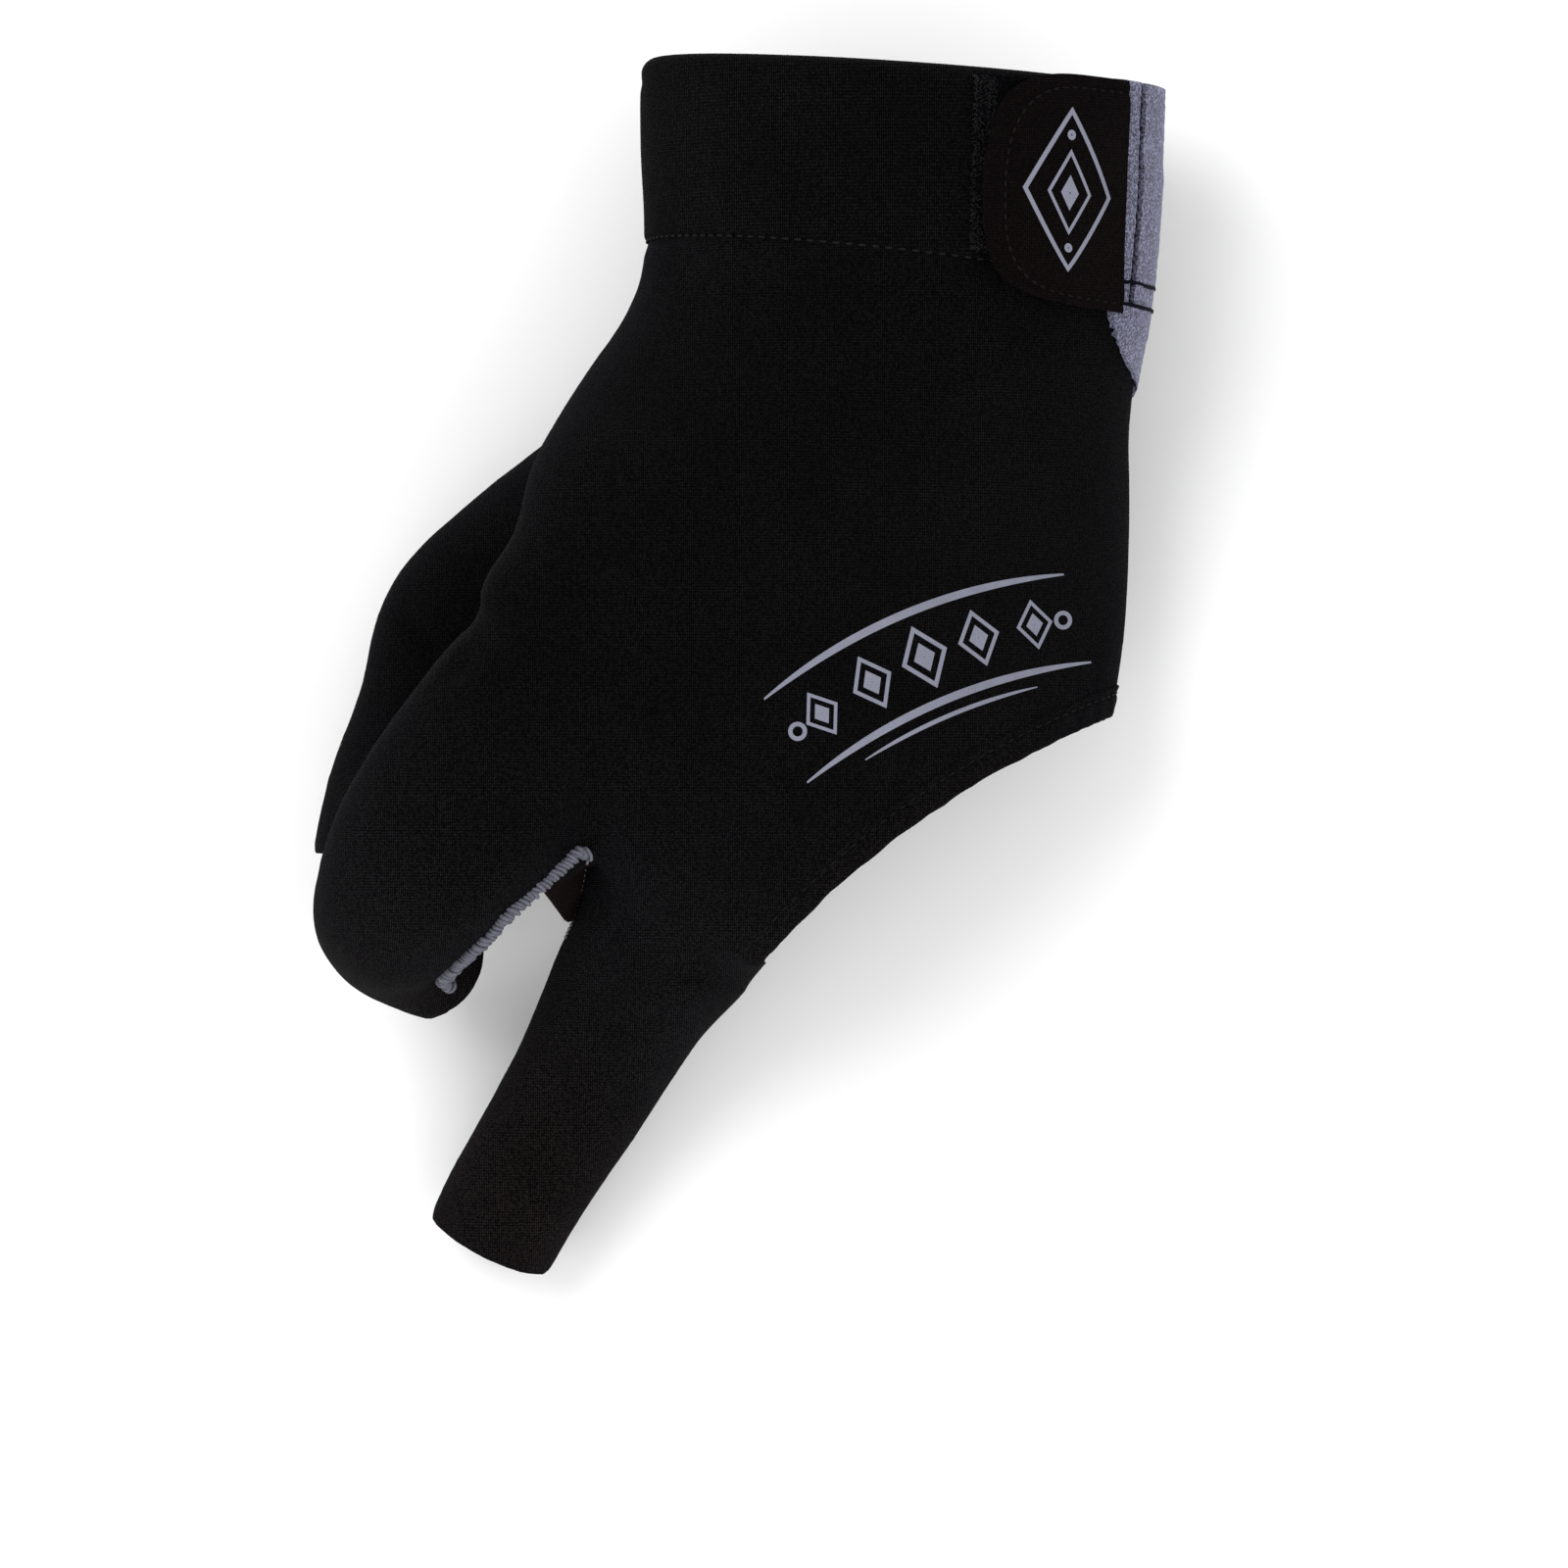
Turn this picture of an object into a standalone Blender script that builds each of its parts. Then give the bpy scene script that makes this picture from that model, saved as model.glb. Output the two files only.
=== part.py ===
"""Billiard glove for the bridge hand, in the form it has when worn.

The glove is seen palm down: +X towards the little finger, +Y out of the wrist, +Z up.
The origin is the centre of the wrist opening. It covers the thumb, index and middle
finger, leaves their tips bare, and stops short of the ring and little fingers.
The index finger loops over the channel that a cue slides through.
Lengths are in metres and angles in degrees unless a name says otherwise.
"""

import math
from collections import namedtuple

import bmesh
import bpy
from mathutils import Vector

# Overall sizes of the worn glove
HAND_LENGTH = 0.165
PALM_WIDTH = 0.080
BRIDGE_HEIGHT = 0.060
WRIST_DEPTH = 0.044
INDEX_WIDTH = 0.020
INDEX_DEPTH = 0.019
MIDDLE_WIDTH = 0.0195
MIDDLE_DEPTH = 0.0175
THUMB_WIDTH = 0.022
THUMB_DEPTH = 0.019

# Fabric thicknesses and the gap kept between sewn pieces
STRETCH_WALL = 0.0012
CUFF_WALL = 0.0022
HEM_WALL = 0.0022
SEAM_GAP = 0.0003

# Cuff, closure and trims
HEM_WIDTH = 0.0045
HEM_BOW = 0.0036
LOOP_PATCH_THICKNESS = 0.0010
TRIM_GAP = 0.00045
TAB_THICKNESS = 0.0018
BINDING_THICKNESS = 0.0020
OVERLOCK_DIAMETER = 0.0017

# How finely round shapes are divided
BODY_SIDES = 28
FINGER_SIDES = 16
RINGS_PER_SPAN = 3
BORE_REACH = 0.02
BORE_LEAD_ROWS = 0.3
OVERLOCK_STEPS = 40
TRIM_STEP = 5.0
TRIM_ROWS = 14
SMALL = 1e-6

BLACK_KNIT = ((0.012, 0.012, 0.015, 1.0), 0.75)
BLACK_TAPE = ((0.010, 0.009, 0.010, 1.0), 0.9)
LAVENDER_SUEDE = ((0.23, 0.23, 0.36, 1.0), 0.95)
LAVENDER_THREAD = ((0.27, 0.27, 0.34, 1.0), 0.8)

# One cross-section of a tube: its centre, two unit directions and two half sizes
Ring = namedtuple("Ring", "centre side up half_width half_depth")

# The hand from wrist to knuckles. Each section spans from its thumb-side point to its
# little-finger-side point. x is a share of PALM_WIDTH, y of HAND_LENGTH towards the
# fingers, z of BRIDGE_HEIGHT and depth of WRIST_DEPTH.
HandSection = namedtuple("HandSection", "thumb_x thumb_y thumb_z little_x little_y little_z depth")
HAND = [
    HandSection(-0.441, -0.014, 0.00, 0.441, 0.014, 0.00, 0.98),
    HandSection(-0.441, 0.143, -0.02, 0.429, 0.190, -0.02, 1.00),
    HandSection(-0.466, 0.198, 0.02, 0.421, 0.243, -0.10, 1.02),
    HandSection(-0.545, 0.264, 0.16, 0.404, 0.305, -0.20, 1.02),
    HandSection(-0.612, 0.329, 0.34, 0.402, 0.370, -0.24, 0.93),
    HandSection(-0.650, 0.391, 0.41, 0.402, 0.427, -0.24, 0.80),
    HandSection(-0.712, 0.456, 0.43, 0.394, 0.485, -0.22, 0.70),
    HandSection(-0.627, 0.567, 0.35, 0.377, 0.542, -0.18, 0.70),
    HandSection(-0.542, 0.640, 0.27, 0.345, 0.608, -0.13, 0.66),
    HandSection(-0.466, 0.710, 0.15, 0.294, 0.690, -0.10, 0.59),
    HandSection(-0.400, 0.745, 0.08, 0.243, 0.775, -0.10, 0.54),
]
SEAM_ROW = 1.0

# Each finger sleeve from its root inside the hand to its open end. x, y and z are
# shares as above; width and depth are shares of that finger's own width and depth.
FingerSection = namedtuple("FingerSection", "x y z width depth")
INDEX = [
    FingerSection(-0.440, 0.440, 0.24, 1.05, 0.70),
    FingerSection(-0.615, 0.518, 0.32, 1.27, 0.98),
    FingerSection(-0.711, 0.591, 0.35, 1.45, 1.05),
    FingerSection(-0.804, 0.657, 0.34, 1.40, 1.05),
    FingerSection(-0.868, 0.705, 0.22, 1.15, 1.00),
    FingerSection(-0.883, 0.722, 0.04, 1.00, 0.98),
    FingerSection(-0.851, 0.738, -0.10, 0.93, 0.93),
    FingerSection(-0.792, 0.754, -0.19, 0.88, 0.88),
]
MIDDLE = [
    FingerSection(-0.306, 0.575, 0.13, 1.30, 1.20),
    FingerSection(-0.365, 0.665, 0.07, 1.42, 1.22),
    FingerSection(-0.385, 0.715, 0.01, 1.42, 1.18),
    FingerSection(-0.461, 0.775, -0.12, 1.22, 1.10),
    FingerSection(-0.554, 0.858, -0.25, 1.07, 1.02),
    FingerSection(-0.659, 0.940, -0.30, 1.00, 1.00),
    FingerSection(-0.722, 0.998, -0.34, 0.97, 0.97),
]
THUMB = [
    FingerSection(-0.310, 0.275, 0.00, 1.05, 1.05),
    FingerSection(-0.475, 0.348, -0.18, 1.12, 1.06),
    FingerSection(-0.654, 0.414, -0.25, 1.10, 1.03),
    FingerSection(-0.762, 0.461, -0.27, 1.06, 1.00),
    FingerSection(-0.814, 0.532, -0.27, 0.98, 0.97),
    FingerSection(-0.868, 0.600, -0.27, 0.95, 0.95),
    FingerSection(-0.898, 0.648, -0.28, 0.92, 0.93),
    FingerSection(-0.903, 0.668, -0.28, 0.91, 0.93),
]

# The hem beside the bare fingers runs between these two points, in shares as above.
HEM_LITTLE_END = (0.382, 0.546)
HEM_MIDDLE_END = (-0.221, 0.747)

# Places on the cuff. An angle is measured round the wrist from the little-finger side,
# up over the back of the hand. A row counts HAND sections, so 0 to 1 is the cuff.
TAB_ANGLES = (35.5, 70.0)
TAB_ROWS = (0.02, 1.22)
TAB_ROUNDING = 0.28
LOOP_PATCH_ANGLES = (37.5, 73.0)
LOOP_PATCH_ROWS = (0.05, 0.96)
BINDING_BACK_ANGLES = (25.5, 33.8)
BINDING_PALM_ANGLES = (-16.0, 24.0)
BINDING_ROWS = (0.0, 1.18)
BINDING_TAIL_ANGLES = (-16.0, 33.0)
BINDING_TAIL_ROWS = (1.24, 2.4)
BINDING_TAIL_TAPER = 0.6

# The bead of the overlocked edge: down the cue side of the index finger, round the
# fork and along the middle finger. Rows count the sections of each table.
OVERLOCK_INDEX_ROWS = (6.2, 2.0)
OVERLOCK_FORK_ROW = 8.25
OVERLOCK_MIDDLE_ROWS = (2.2, 3.3)
OVERLOCK_RISE = 14.0


def clear_scene():
    for obj in list(bpy.data.objects):
        bpy.data.objects.remove(obj)


def fabric(name, finish):
    colour, roughness = finish
    material = bpy.data.materials.new(name)
    material.use_nodes = True
    shader = material.node_tree.nodes["Principled BSDF"]
    shader.inputs["Base Color"].default_value = colour
    shader.inputs["Roughness"].default_value = roughness
    shader.inputs["Metallic"].default_value = 0.0
    return material


def place(x, y, z):
    """A point given in shares of the hand's width, length and height."""
    return Vector((x * PALM_WIDTH, -y * HAND_LENGTH, z * BRIDGE_HEIGHT))


def smooth_row(rows, at):
    """The values at a fractional row number, on a curve through every row."""
    first = max(0, min(int(math.floor(at)), len(rows) - 2))
    t = at - first
    before, after = max(first - 1, 0), min(first + 2, len(rows) - 1)
    if not 0.0 <= t <= 1.0:
        return [a + (b - a) * t for a, b in zip(rows[first], rows[first + 1])]
    values = []
    for p0, p1, p2, p3 in zip(rows[before], rows[first], rows[first + 1], rows[after]):
        m1, m2 = (p2 - p0) / 2, (p3 - p1) / 2
        values.append(
            p1 * (2 * t**3 - 3 * t**2 + 1) + m1 * (t**3 - 2 * t**2 + t)
            + p2 * (3 * t**2 - 2 * t**3) + m2 * (t**3 - t**2)
        )
    return values


def hand_ring(at):
    """The hand's cross-section at a fractional row of HAND."""
    section = HandSection(*smooth_row(HAND, at))
    thumb_side = place(section.thumb_x, section.thumb_y, section.thumb_z)
    little_side = place(section.little_x, section.little_y, section.little_z)
    across = little_side - thumb_side
    side = across.normalized()
    upright = Vector((0, 0, 1))
    up = (upright - side * side.dot(upright)).normalized()
    centre = (thumb_side + little_side) / 2
    return Ring(centre, side, up, across.length / 2, section.depth * WRIST_DEPTH / 2)


def hand_rings(first, last):
    """The hand's cross-sections between two rows of HAND."""
    steps = max(1, round((last - first) * RINGS_PER_SPAN))
    return [hand_ring(first + (last - first) * i / steps) for i in range(steps + 1)]


def carried_rings(centres, half_sizes):
    """Cross-sections along a path, each turned as little as possible from the last."""
    rings = []
    side = None
    for i, (half_width, half_depth) in enumerate(half_sizes):
        before, after = centres[max(i - 1, 0)], centres[min(i + 1, len(centres) - 1)]
        along = (after - before).normalized()
        if side is None:
            side = along.cross(Vector((0, 0, 1)))
        side = (side - along * side.dot(along)).normalized()
        rings.append(Ring(centres[i], side, side.cross(along), half_width, half_depth))
    return rings


def finger_rings(rows, width, depth):
    """A sleeve's cross-sections, from a table of shares and that finger's own sizes."""
    steps = (len(rows) - 1) * RINGS_PER_SPAN
    sections = [FingerSection(*smooth_row(rows, i / RINGS_PER_SPAN)) for i in range(steps + 1)]
    centres = [place(s.x, s.y, s.z) for s in sections]
    return carried_rings(centres, [(s.width * width / 2, s.depth * depth / 2) for s in sections])


def lengthened(rings, extra):
    """The same rings with one more past the open end, so that a bore cuts right through."""
    last, before = rings[-1], rings[-2]
    onwards = (last.centre - before.centre).normalized() * extra
    return rings + [last._replace(centre=last.centre + onwards)]


def ring_point(ring, angle, offset):
    """A point on a cross-section's outline, moved outwards by offset."""
    width, depth = ring.half_width + offset, ring.half_depth + offset
    return ring.centre + ring.side * (width * math.cos(angle)) + ring.up * (depth * math.sin(angle))


def new_object(name, bm, material):
    mesh = bpy.data.meshes.new(name)
    bm.to_mesh(mesh)
    bm.free()
    mesh.materials.append(material)
    obj = bpy.data.objects.new(name, mesh)
    bpy.context.scene.collection.objects.link(obj)
    return obj


def shade(obj):
    obj.data.shade_smooth()
    obj.data.set_sharp_from_angle(angle=math.radians(40))


def surface_mesh(point_at, columns, rows, wall=0.0, closed=False):
    """A grid bent to point_at(u, v), where u runs round and v along. A wall is added outwards."""
    bm = bmesh.new()
    bmesh.ops.create_grid(bm, x_segments=columns, y_segments=rows, size=1.0)
    for vert in bm.verts:
        u, v = (vert.co.x + 1) / 2, (vert.co.y + 1) / 2
        vert.co = point_at(u, v)
    if closed:
        bmesh.ops.remove_doubles(bm, verts=bm.verts, dist=SMALL)
    if wall:
        bm.normal_update()
        bmesh.ops.solidify(bm, geom=bm.faces[:], thickness=-wall)
        if bm.calc_volume(signed=True) < 0:
            bmesh.ops.reverse_faces(bm, faces=bm.faces)
    return bm


def tube(name, rings, offset, sides, material):
    """A closed tube through the rings' outlines, each moved outwards by offset."""

    def point_at(u, v):
        return ring_point(rings[round(v * (len(rings) - 1))], 2 * math.pi * u, offset)

    bm = surface_mesh(point_at, sides, len(rings) - 1, closed=True)
    open_edges = [edge for edge in bm.edges if edge.is_boundary]
    bmesh.ops.holes_fill(bm, edges=open_edges, sides=0)
    bmesh.ops.recalc_face_normals(bm, faces=bm.faces)
    return new_object(name, bm, material)


def combine(obj, cutter, operation):
    cutter.hide_render = True
    cutter.display_type = "WIRE"
    modifier = obj.modifiers.new(operation.lower(), "BOOLEAN")
    modifier.operation = operation
    modifier.solver = "EXACT"
    modifier.object = cutter


def hem_line(inset):
    """Points along the bowed hem, moved towards the wrist by inset, as seen from above."""
    start, end = place(*HEM_LITTLE_END, 0.0), place(*HEM_MIDDLE_END, 0.0)
    chord = end - start
    along = chord.normalized()
    to_wrist = Vector((along.y, -along.x, 0.0))
    if to_wrist.y < 0:
        to_wrist.negate()
    points = []
    steps = 8
    for i in range(-steps, 2 * steps + 1):
        share = i / steps
        bow = 4 * share * (1 - share) if 0 <= share <= 1 else 4 * (share if share < 0 else 1 - share)
        points.append(start + chord * share + to_wrist * (HEM_BOW * bow + inset))
    return points


def beyond_hem(name, inset, material):
    """A block that covers everything on the bare fingers' side of the hem line."""
    line = hem_line(inset)
    reach = Vector((PALM_WIDTH, -HAND_LENGTH, 0.0))
    outline = line + [line[-1] + reach, line[0] + reach]
    tall = 2 * BRIDGE_HEIGHT
    bm = bmesh.new()
    base = bm.faces.new([bm.verts.new(point - Vector((0, 0, tall))) for point in outline])
    raised = bmesh.ops.extrude_face_region(bm, geom=[base])["geom"]
    lifted = [item for item in raised if isinstance(item, bmesh.types.BMVert)]
    bmesh.ops.translate(bm, vec=(0, 0, 2 * tall), verts=lifted)
    bmesh.ops.recalc_face_normals(bm, faces=bm.faces)
    return new_object(name, bm, material)


def hand_envelope(name, offset, material):
    """The hand's outer form out to the hem, as one closed block."""
    rings = lengthened(hand_rings(SEAM_ROW, len(HAND) - 1), offset)
    envelope = tube(name, rings, offset, BODY_SIDES, material)
    combine(envelope, beyond_hem(name + "_end", -SEAM_GAP, material), "DIFFERENCE")
    return envelope


def sleeve(name, rings, knit):
    """An open finger sleeve that starts on the outside of the hand."""
    outer = tube(name, rings, 0.0, FINGER_SIDES, knit)
    bore = lengthened(rings, BORE_REACH)
    combine(outer, tube(name + "_bore", bore, -STRETCH_WALL, FINGER_SIDES, knit), "DIFFERENCE")
    combine(outer, hand_envelope(name + "_root", 1.5 * SEAM_GAP, knit), "DIFFERENCE")
    shade(outer)
    return outer


def hand_body(name, fingers, knit):
    """Back and palm of the glove, hollow, open at the wrist, the hem and each sleeve."""
    row_length = (hand_ring(SEAM_ROW + 1).centre - hand_ring(SEAM_ROW).centre).length
    below_seam = SEAM_ROW + 1.5 * SEAM_GAP / row_length
    last = len(HAND) - 1
    outer = tube(name, hand_rings(below_seam, last), 0.0, BODY_SIDES, knit)
    hollow = lengthened(hand_rings(below_seam - BORE_LEAD_ROWS, last), BORE_REACH)
    combine(outer, beyond_hem(name + "_end", HEM_WIDTH + SEAM_GAP, knit), "DIFFERENCE")
    combine(outer, tube(name + "_bore", hollow, -STRETCH_WALL, BODY_SIDES, knit), "DIFFERENCE")
    for label, rings in fingers.items():
        bore = tube(f"{name}_{label}", rings, -STRETCH_WALL, FINGER_SIDES, knit)
        combine(outer, bore, "DIFFERENCE")
    shade(outer)
    return outer


def knuckle_hem(name, middle, knit):
    """The folded hem round the bare fingers' opening, thicker than the knit it ends."""
    last = len(HAND) - 1
    outer = tube(name, hand_rings(SEAM_ROW, last), 0.0, BODY_SIDES, knit)
    bore = lengthened(hand_rings(SEAM_ROW - BORE_LEAD_ROWS, last), BORE_REACH)
    combine(outer, beyond_hem(name + "_end", 0.0, knit), "DIFFERENCE")
    combine(outer, beyond_hem(name + "_start", HEM_WIDTH, knit), "INTERSECT")
    combine(outer, tube(name + "_middle", middle, SEAM_GAP, FINGER_SIDES, knit), "DIFFERENCE")
    combine(outer, tube(name + "_bore", bore, -HEM_WALL, BODY_SIDES, knit), "DIFFERENCE")
    shade(outer)
    return outer


def wrist_cuff(name, knit):
    """The doubled band round the wrist, in line with the hand below it."""

    def point_at(u, v):
        return ring_point(hand_ring(v * SEAM_ROW), 2 * math.pi * u, -CUFF_WALL)

    bm = surface_mesh(point_at, BODY_SIDES, RINGS_PER_SPAN, wall=CUFF_WALL, closed=True)
    cuff = new_object(name, bm, knit)
    shade(cuff)
    return cuff


def trim(name, angles, rows, lift, thickness, material, rounding=0.0, taper=0.0):
    """A strip laid on the hand. Its far corners may be rounded and its far end tapered."""

    def point_at(u, v):
        row = rows[0] + (rows[1] - rows[0]) * v
        rounded = rounding * (1 - math.sqrt(max(0.0, 1 - abs(2 * v - 1) ** 4)))
        width = angles[1] - angles[0]
        low = angles[0] + width * taper * v / 2
        high = angles[1] - width * (rounded + taper * v / 2)
        return ring_point(hand_ring(row), math.radians(low + (high - low) * u), lift)

    columns = max(2, round((angles[1] - angles[0]) / TRIM_STEP))
    bm = surface_mesh(point_at, columns, TRIM_ROWS, wall=thickness)
    strip = new_object(name, bm, material)
    shade(strip)
    return strip


def overlock(name, index, middle, thread):
    """The beaded edge between the two fingers' ends, round the fork where they meet."""
    lift = OVERLOCK_DIAMETER / 2 + 2 * SEAM_GAP
    first, last = (round(row * RINGS_PER_SPAN) for row in OVERLOCK_INDEX_ROWS)
    start, end = (round(row * RINGS_PER_SPAN) for row in OVERLOCK_MIDDLE_ROWS)
    rise = math.radians(OVERLOCK_RISE)
    points = [ring_point(ring, math.pi - rise, lift) for ring in index[last:first][::-1]]
    points.append(ring_point(hand_ring(OVERLOCK_FORK_ROW), math.pi, lift))
    points += [ring_point(ring, 0.0, lift) for ring in middle[start:end]]
    steps = [i * (len(points) - 1) / OVERLOCK_STEPS for i in range(OVERLOCK_STEPS + 1)]
    path = [Vector(smooth_row(points, step)) for step in steps]
    radius = OVERLOCK_DIAMETER / 2
    bead = tube(name, carried_rings(path, [(radius, radius)] * len(path)), 0.0, 8, thread)
    shade(bead)
    return bead


clear_scene()
black_knit = fabric("black_knit", BLACK_KNIT)
black_tape = fabric("black_tape", BLACK_TAPE)
lavender_suede = fabric("lavender_suede", LAVENDER_SUEDE)
lavender_thread = fabric("lavender_thread", LAVENDER_THREAD)

index = finger_rings(INDEX, INDEX_WIDTH, INDEX_DEPTH)
middle = finger_rings(MIDDLE, MIDDLE_WIDTH, MIDDLE_DEPTH)
thumb = finger_rings(THUMB, THUMB_WIDTH, THUMB_DEPTH)

hand_body("hand_body", {"index": index, "middle": middle, "thumb": thumb}, black_knit)
sleeve("index_sleeve", index, black_knit)
sleeve("middle_sleeve", middle, black_knit)
sleeve("thumb_sleeve", thumb, black_knit)
knuckle_hem("knuckle_hem", middle, black_knit)
wrist_cuff("wrist_cuff", black_knit)

on_cuff = TRIM_GAP
on_patch = on_cuff + LOOP_PATCH_THICKNESS + TRIM_GAP
trim("loop_patch", LOOP_PATCH_ANGLES, LOOP_PATCH_ROWS, on_cuff, LOOP_PATCH_THICKNESS, black_tape)
trim("closure_tab", TAB_ANGLES, TAB_ROWS, on_patch, TAB_THICKNESS, black_knit, rounding=TAB_ROUNDING)
bindings = [
    ("binding_back_strip", BINDING_BACK_ANGLES, BINDING_ROWS, 0.0),
    ("binding_palm_strip", BINDING_PALM_ANGLES, BINDING_ROWS, 0.0),
    ("binding_tail", BINDING_TAIL_ANGLES, BINDING_TAIL_ROWS, BINDING_TAIL_TAPER),
]
for node, angles, rows, taper in bindings:
    trim(node, angles, rows, on_cuff, BINDING_THICKNESS, lavender_suede, taper=taper)
overlock("finger_overlock", index, middle, lavender_thread)
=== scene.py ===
"""Looks of the billiard glove: stretch fabric, sewn details, prints and the studio.

The glove lies as it is worn on a bridge hand: +X towards the little finger, +Y out of
the wrist, +Z out of the back of the hand. Lengths are in metres unless a name says
otherwise, and angles round the wrist are in degrees from the little-finger side.
"""

import math
import random
from collections import namedtuple

import bmesh
import bpy
from mathutils import Matrix, Vector, noise
from mathutils.bvhtree import BVHTree


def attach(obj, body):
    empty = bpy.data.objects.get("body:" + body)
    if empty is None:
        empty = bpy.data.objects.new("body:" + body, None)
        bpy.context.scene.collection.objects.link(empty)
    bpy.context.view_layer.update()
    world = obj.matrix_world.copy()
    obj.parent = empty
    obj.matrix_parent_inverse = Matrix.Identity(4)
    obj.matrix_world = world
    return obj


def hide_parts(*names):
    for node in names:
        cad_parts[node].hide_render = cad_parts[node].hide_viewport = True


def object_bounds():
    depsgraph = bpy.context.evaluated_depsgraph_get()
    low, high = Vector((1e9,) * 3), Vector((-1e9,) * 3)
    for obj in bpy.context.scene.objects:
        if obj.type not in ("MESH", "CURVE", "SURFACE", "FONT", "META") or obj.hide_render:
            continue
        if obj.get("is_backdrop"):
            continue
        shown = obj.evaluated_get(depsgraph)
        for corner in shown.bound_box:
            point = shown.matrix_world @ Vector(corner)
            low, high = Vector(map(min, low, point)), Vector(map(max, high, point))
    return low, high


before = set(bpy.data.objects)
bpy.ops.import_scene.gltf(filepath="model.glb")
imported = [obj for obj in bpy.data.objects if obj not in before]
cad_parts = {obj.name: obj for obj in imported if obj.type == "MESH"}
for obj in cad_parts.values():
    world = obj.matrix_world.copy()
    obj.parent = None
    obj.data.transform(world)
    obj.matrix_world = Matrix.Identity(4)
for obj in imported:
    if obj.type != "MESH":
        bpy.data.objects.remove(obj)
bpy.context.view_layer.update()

bl_info = {
    "name": "Billiard Glove Looks",
    "version": (1, 0, 0),
    "blender": (4, 5, 0),
    "location": "View3D > Sidebar > Glove",
    "description": "Builds the fabric, stitches, trims and prints of a billiard glove",
    "category": "Object",
}

# Sizes that the solids have too
HAND_LENGTH = 0.165
PALM_WIDTH = 0.080
BRIDGE_HEIGHT = 0.060
WRIST_DEPTH = 0.044
CUFF_WALL = 0.0022
HEM_WALL = 0.0022
HEM_WIDTH = 0.0045
HEM_BOW = 0.0036
TRIM_GAP = 0.00045
LOOP_PATCH_THICKNESS = 0.0010
TAB_THICKNESS = 0.0018
BINDING_THICKNESS = 0.0020
OVERLOCK_DIAMETER = 0.0017

SMALL = 1e-6
SEED = 7
UPRIGHT = Vector((0, 0, 1))

# Surfaces of finished pieces that later pieces are laid on
SURFACES = {}

# One cross-section of a tube: its centre, two unit directions and two half sizes
Ring = namedtuple("Ring", "centre side up half_width half_depth")

# The hand from wrist to knuckles, as in the solids. x is a share of PALM_WIDTH, y of
# HAND_LENGTH towards the fingers, z of BRIDGE_HEIGHT and depth of WRIST_DEPTH.
HandSection = namedtuple("HandSection", "thumb_x thumb_y thumb_z little_x little_y little_z depth")
HAND = [
    HandSection(-0.441, -0.014, 0.00, 0.441, 0.014, 0.00, 0.98),
    HandSection(-0.441, 0.143, -0.02, 0.429, 0.190, -0.02, 1.00),
    HandSection(-0.466, 0.198, 0.02, 0.421, 0.243, -0.10, 1.02),
    HandSection(-0.545, 0.264, 0.16, 0.404, 0.305, -0.20, 1.02),
    HandSection(-0.612, 0.329, 0.34, 0.402, 0.370, -0.24, 0.93),
    HandSection(-0.650, 0.391, 0.41, 0.402, 0.427, -0.24, 0.80),
    HandSection(-0.712, 0.456, 0.43, 0.394, 0.485, -0.22, 0.70),
    HandSection(-0.627, 0.567, 0.35, 0.377, 0.542, -0.18, 0.70),
    HandSection(-0.542, 0.640, 0.27, 0.345, 0.608, -0.13, 0.66),
    HandSection(-0.466, 0.710, 0.15, 0.294, 0.690, -0.10, 0.59),
    HandSection(-0.400, 0.745, 0.08, 0.243, 0.775, -0.10, 0.54),
]
SEAM_ROW = 1.0
SEAM_BOW = 0.07
SEAM_OVERLAP = 0.0040
HEM_OVERLAP = 0.0010
LAST_ROW = len(HAND) - 1
CUFF_LENGTH = 0.0275

# Each sleeve from its root to its open end. width and depth are in metres here.
SleeveSection = namedtuple("SleeveSection", "x y z width depth")
INDEX = [
    SleeveSection(-0.440, 0.440, 0.24, 0.0210, 0.0133),
    SleeveSection(-0.615, 0.518, 0.32, 0.0254, 0.0186),
    SleeveSection(-0.711, 0.591, 0.35, 0.0290, 0.0200),
    SleeveSection(-0.804, 0.657, 0.34, 0.0280, 0.0200),
    SleeveSection(-0.868, 0.705, 0.22, 0.0230, 0.0190),
    SleeveSection(-0.883, 0.722, 0.04, 0.0200, 0.0186),
    SleeveSection(-0.851, 0.738, -0.10, 0.0186, 0.0177),
    SleeveSection(-0.792, 0.754, -0.19, 0.0176, 0.0167),
]
MIDDLE = [
    SleeveSection(-0.306, 0.575, 0.13, 0.0254, 0.0210),
    SleeveSection(-0.365, 0.665, 0.07, 0.0277, 0.0214),
    SleeveSection(-0.385, 0.715, 0.01, 0.0277, 0.0207),
    SleeveSection(-0.461, 0.775, -0.12, 0.0238, 0.0193),
    SleeveSection(-0.554, 0.858, -0.25, 0.0209, 0.0179),
    SleeveSection(-0.659, 0.940, -0.30, 0.0195, 0.0175),
    SleeveSection(-0.722, 0.998, -0.34, 0.0189, 0.0170),
]
THUMB = [
    SleeveSection(-0.310, 0.275, 0.00, 0.0231, 0.0200),
    SleeveSection(-0.475, 0.348, -0.18, 0.0246, 0.0201),
    SleeveSection(-0.654, 0.414, -0.25, 0.0242, 0.0196),
    SleeveSection(-0.762, 0.461, -0.27, 0.0233, 0.0190),
    SleeveSection(-0.814, 0.532, -0.27, 0.0216, 0.0184),
    SleeveSection(-0.868, 0.600, -0.27, 0.0209, 0.0181),
    SleeveSection(-0.898, 0.648, -0.28, 0.0202, 0.0177),
    SleeveSection(-0.903, 0.668, -0.28, 0.0200, 0.0177),
]
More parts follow.
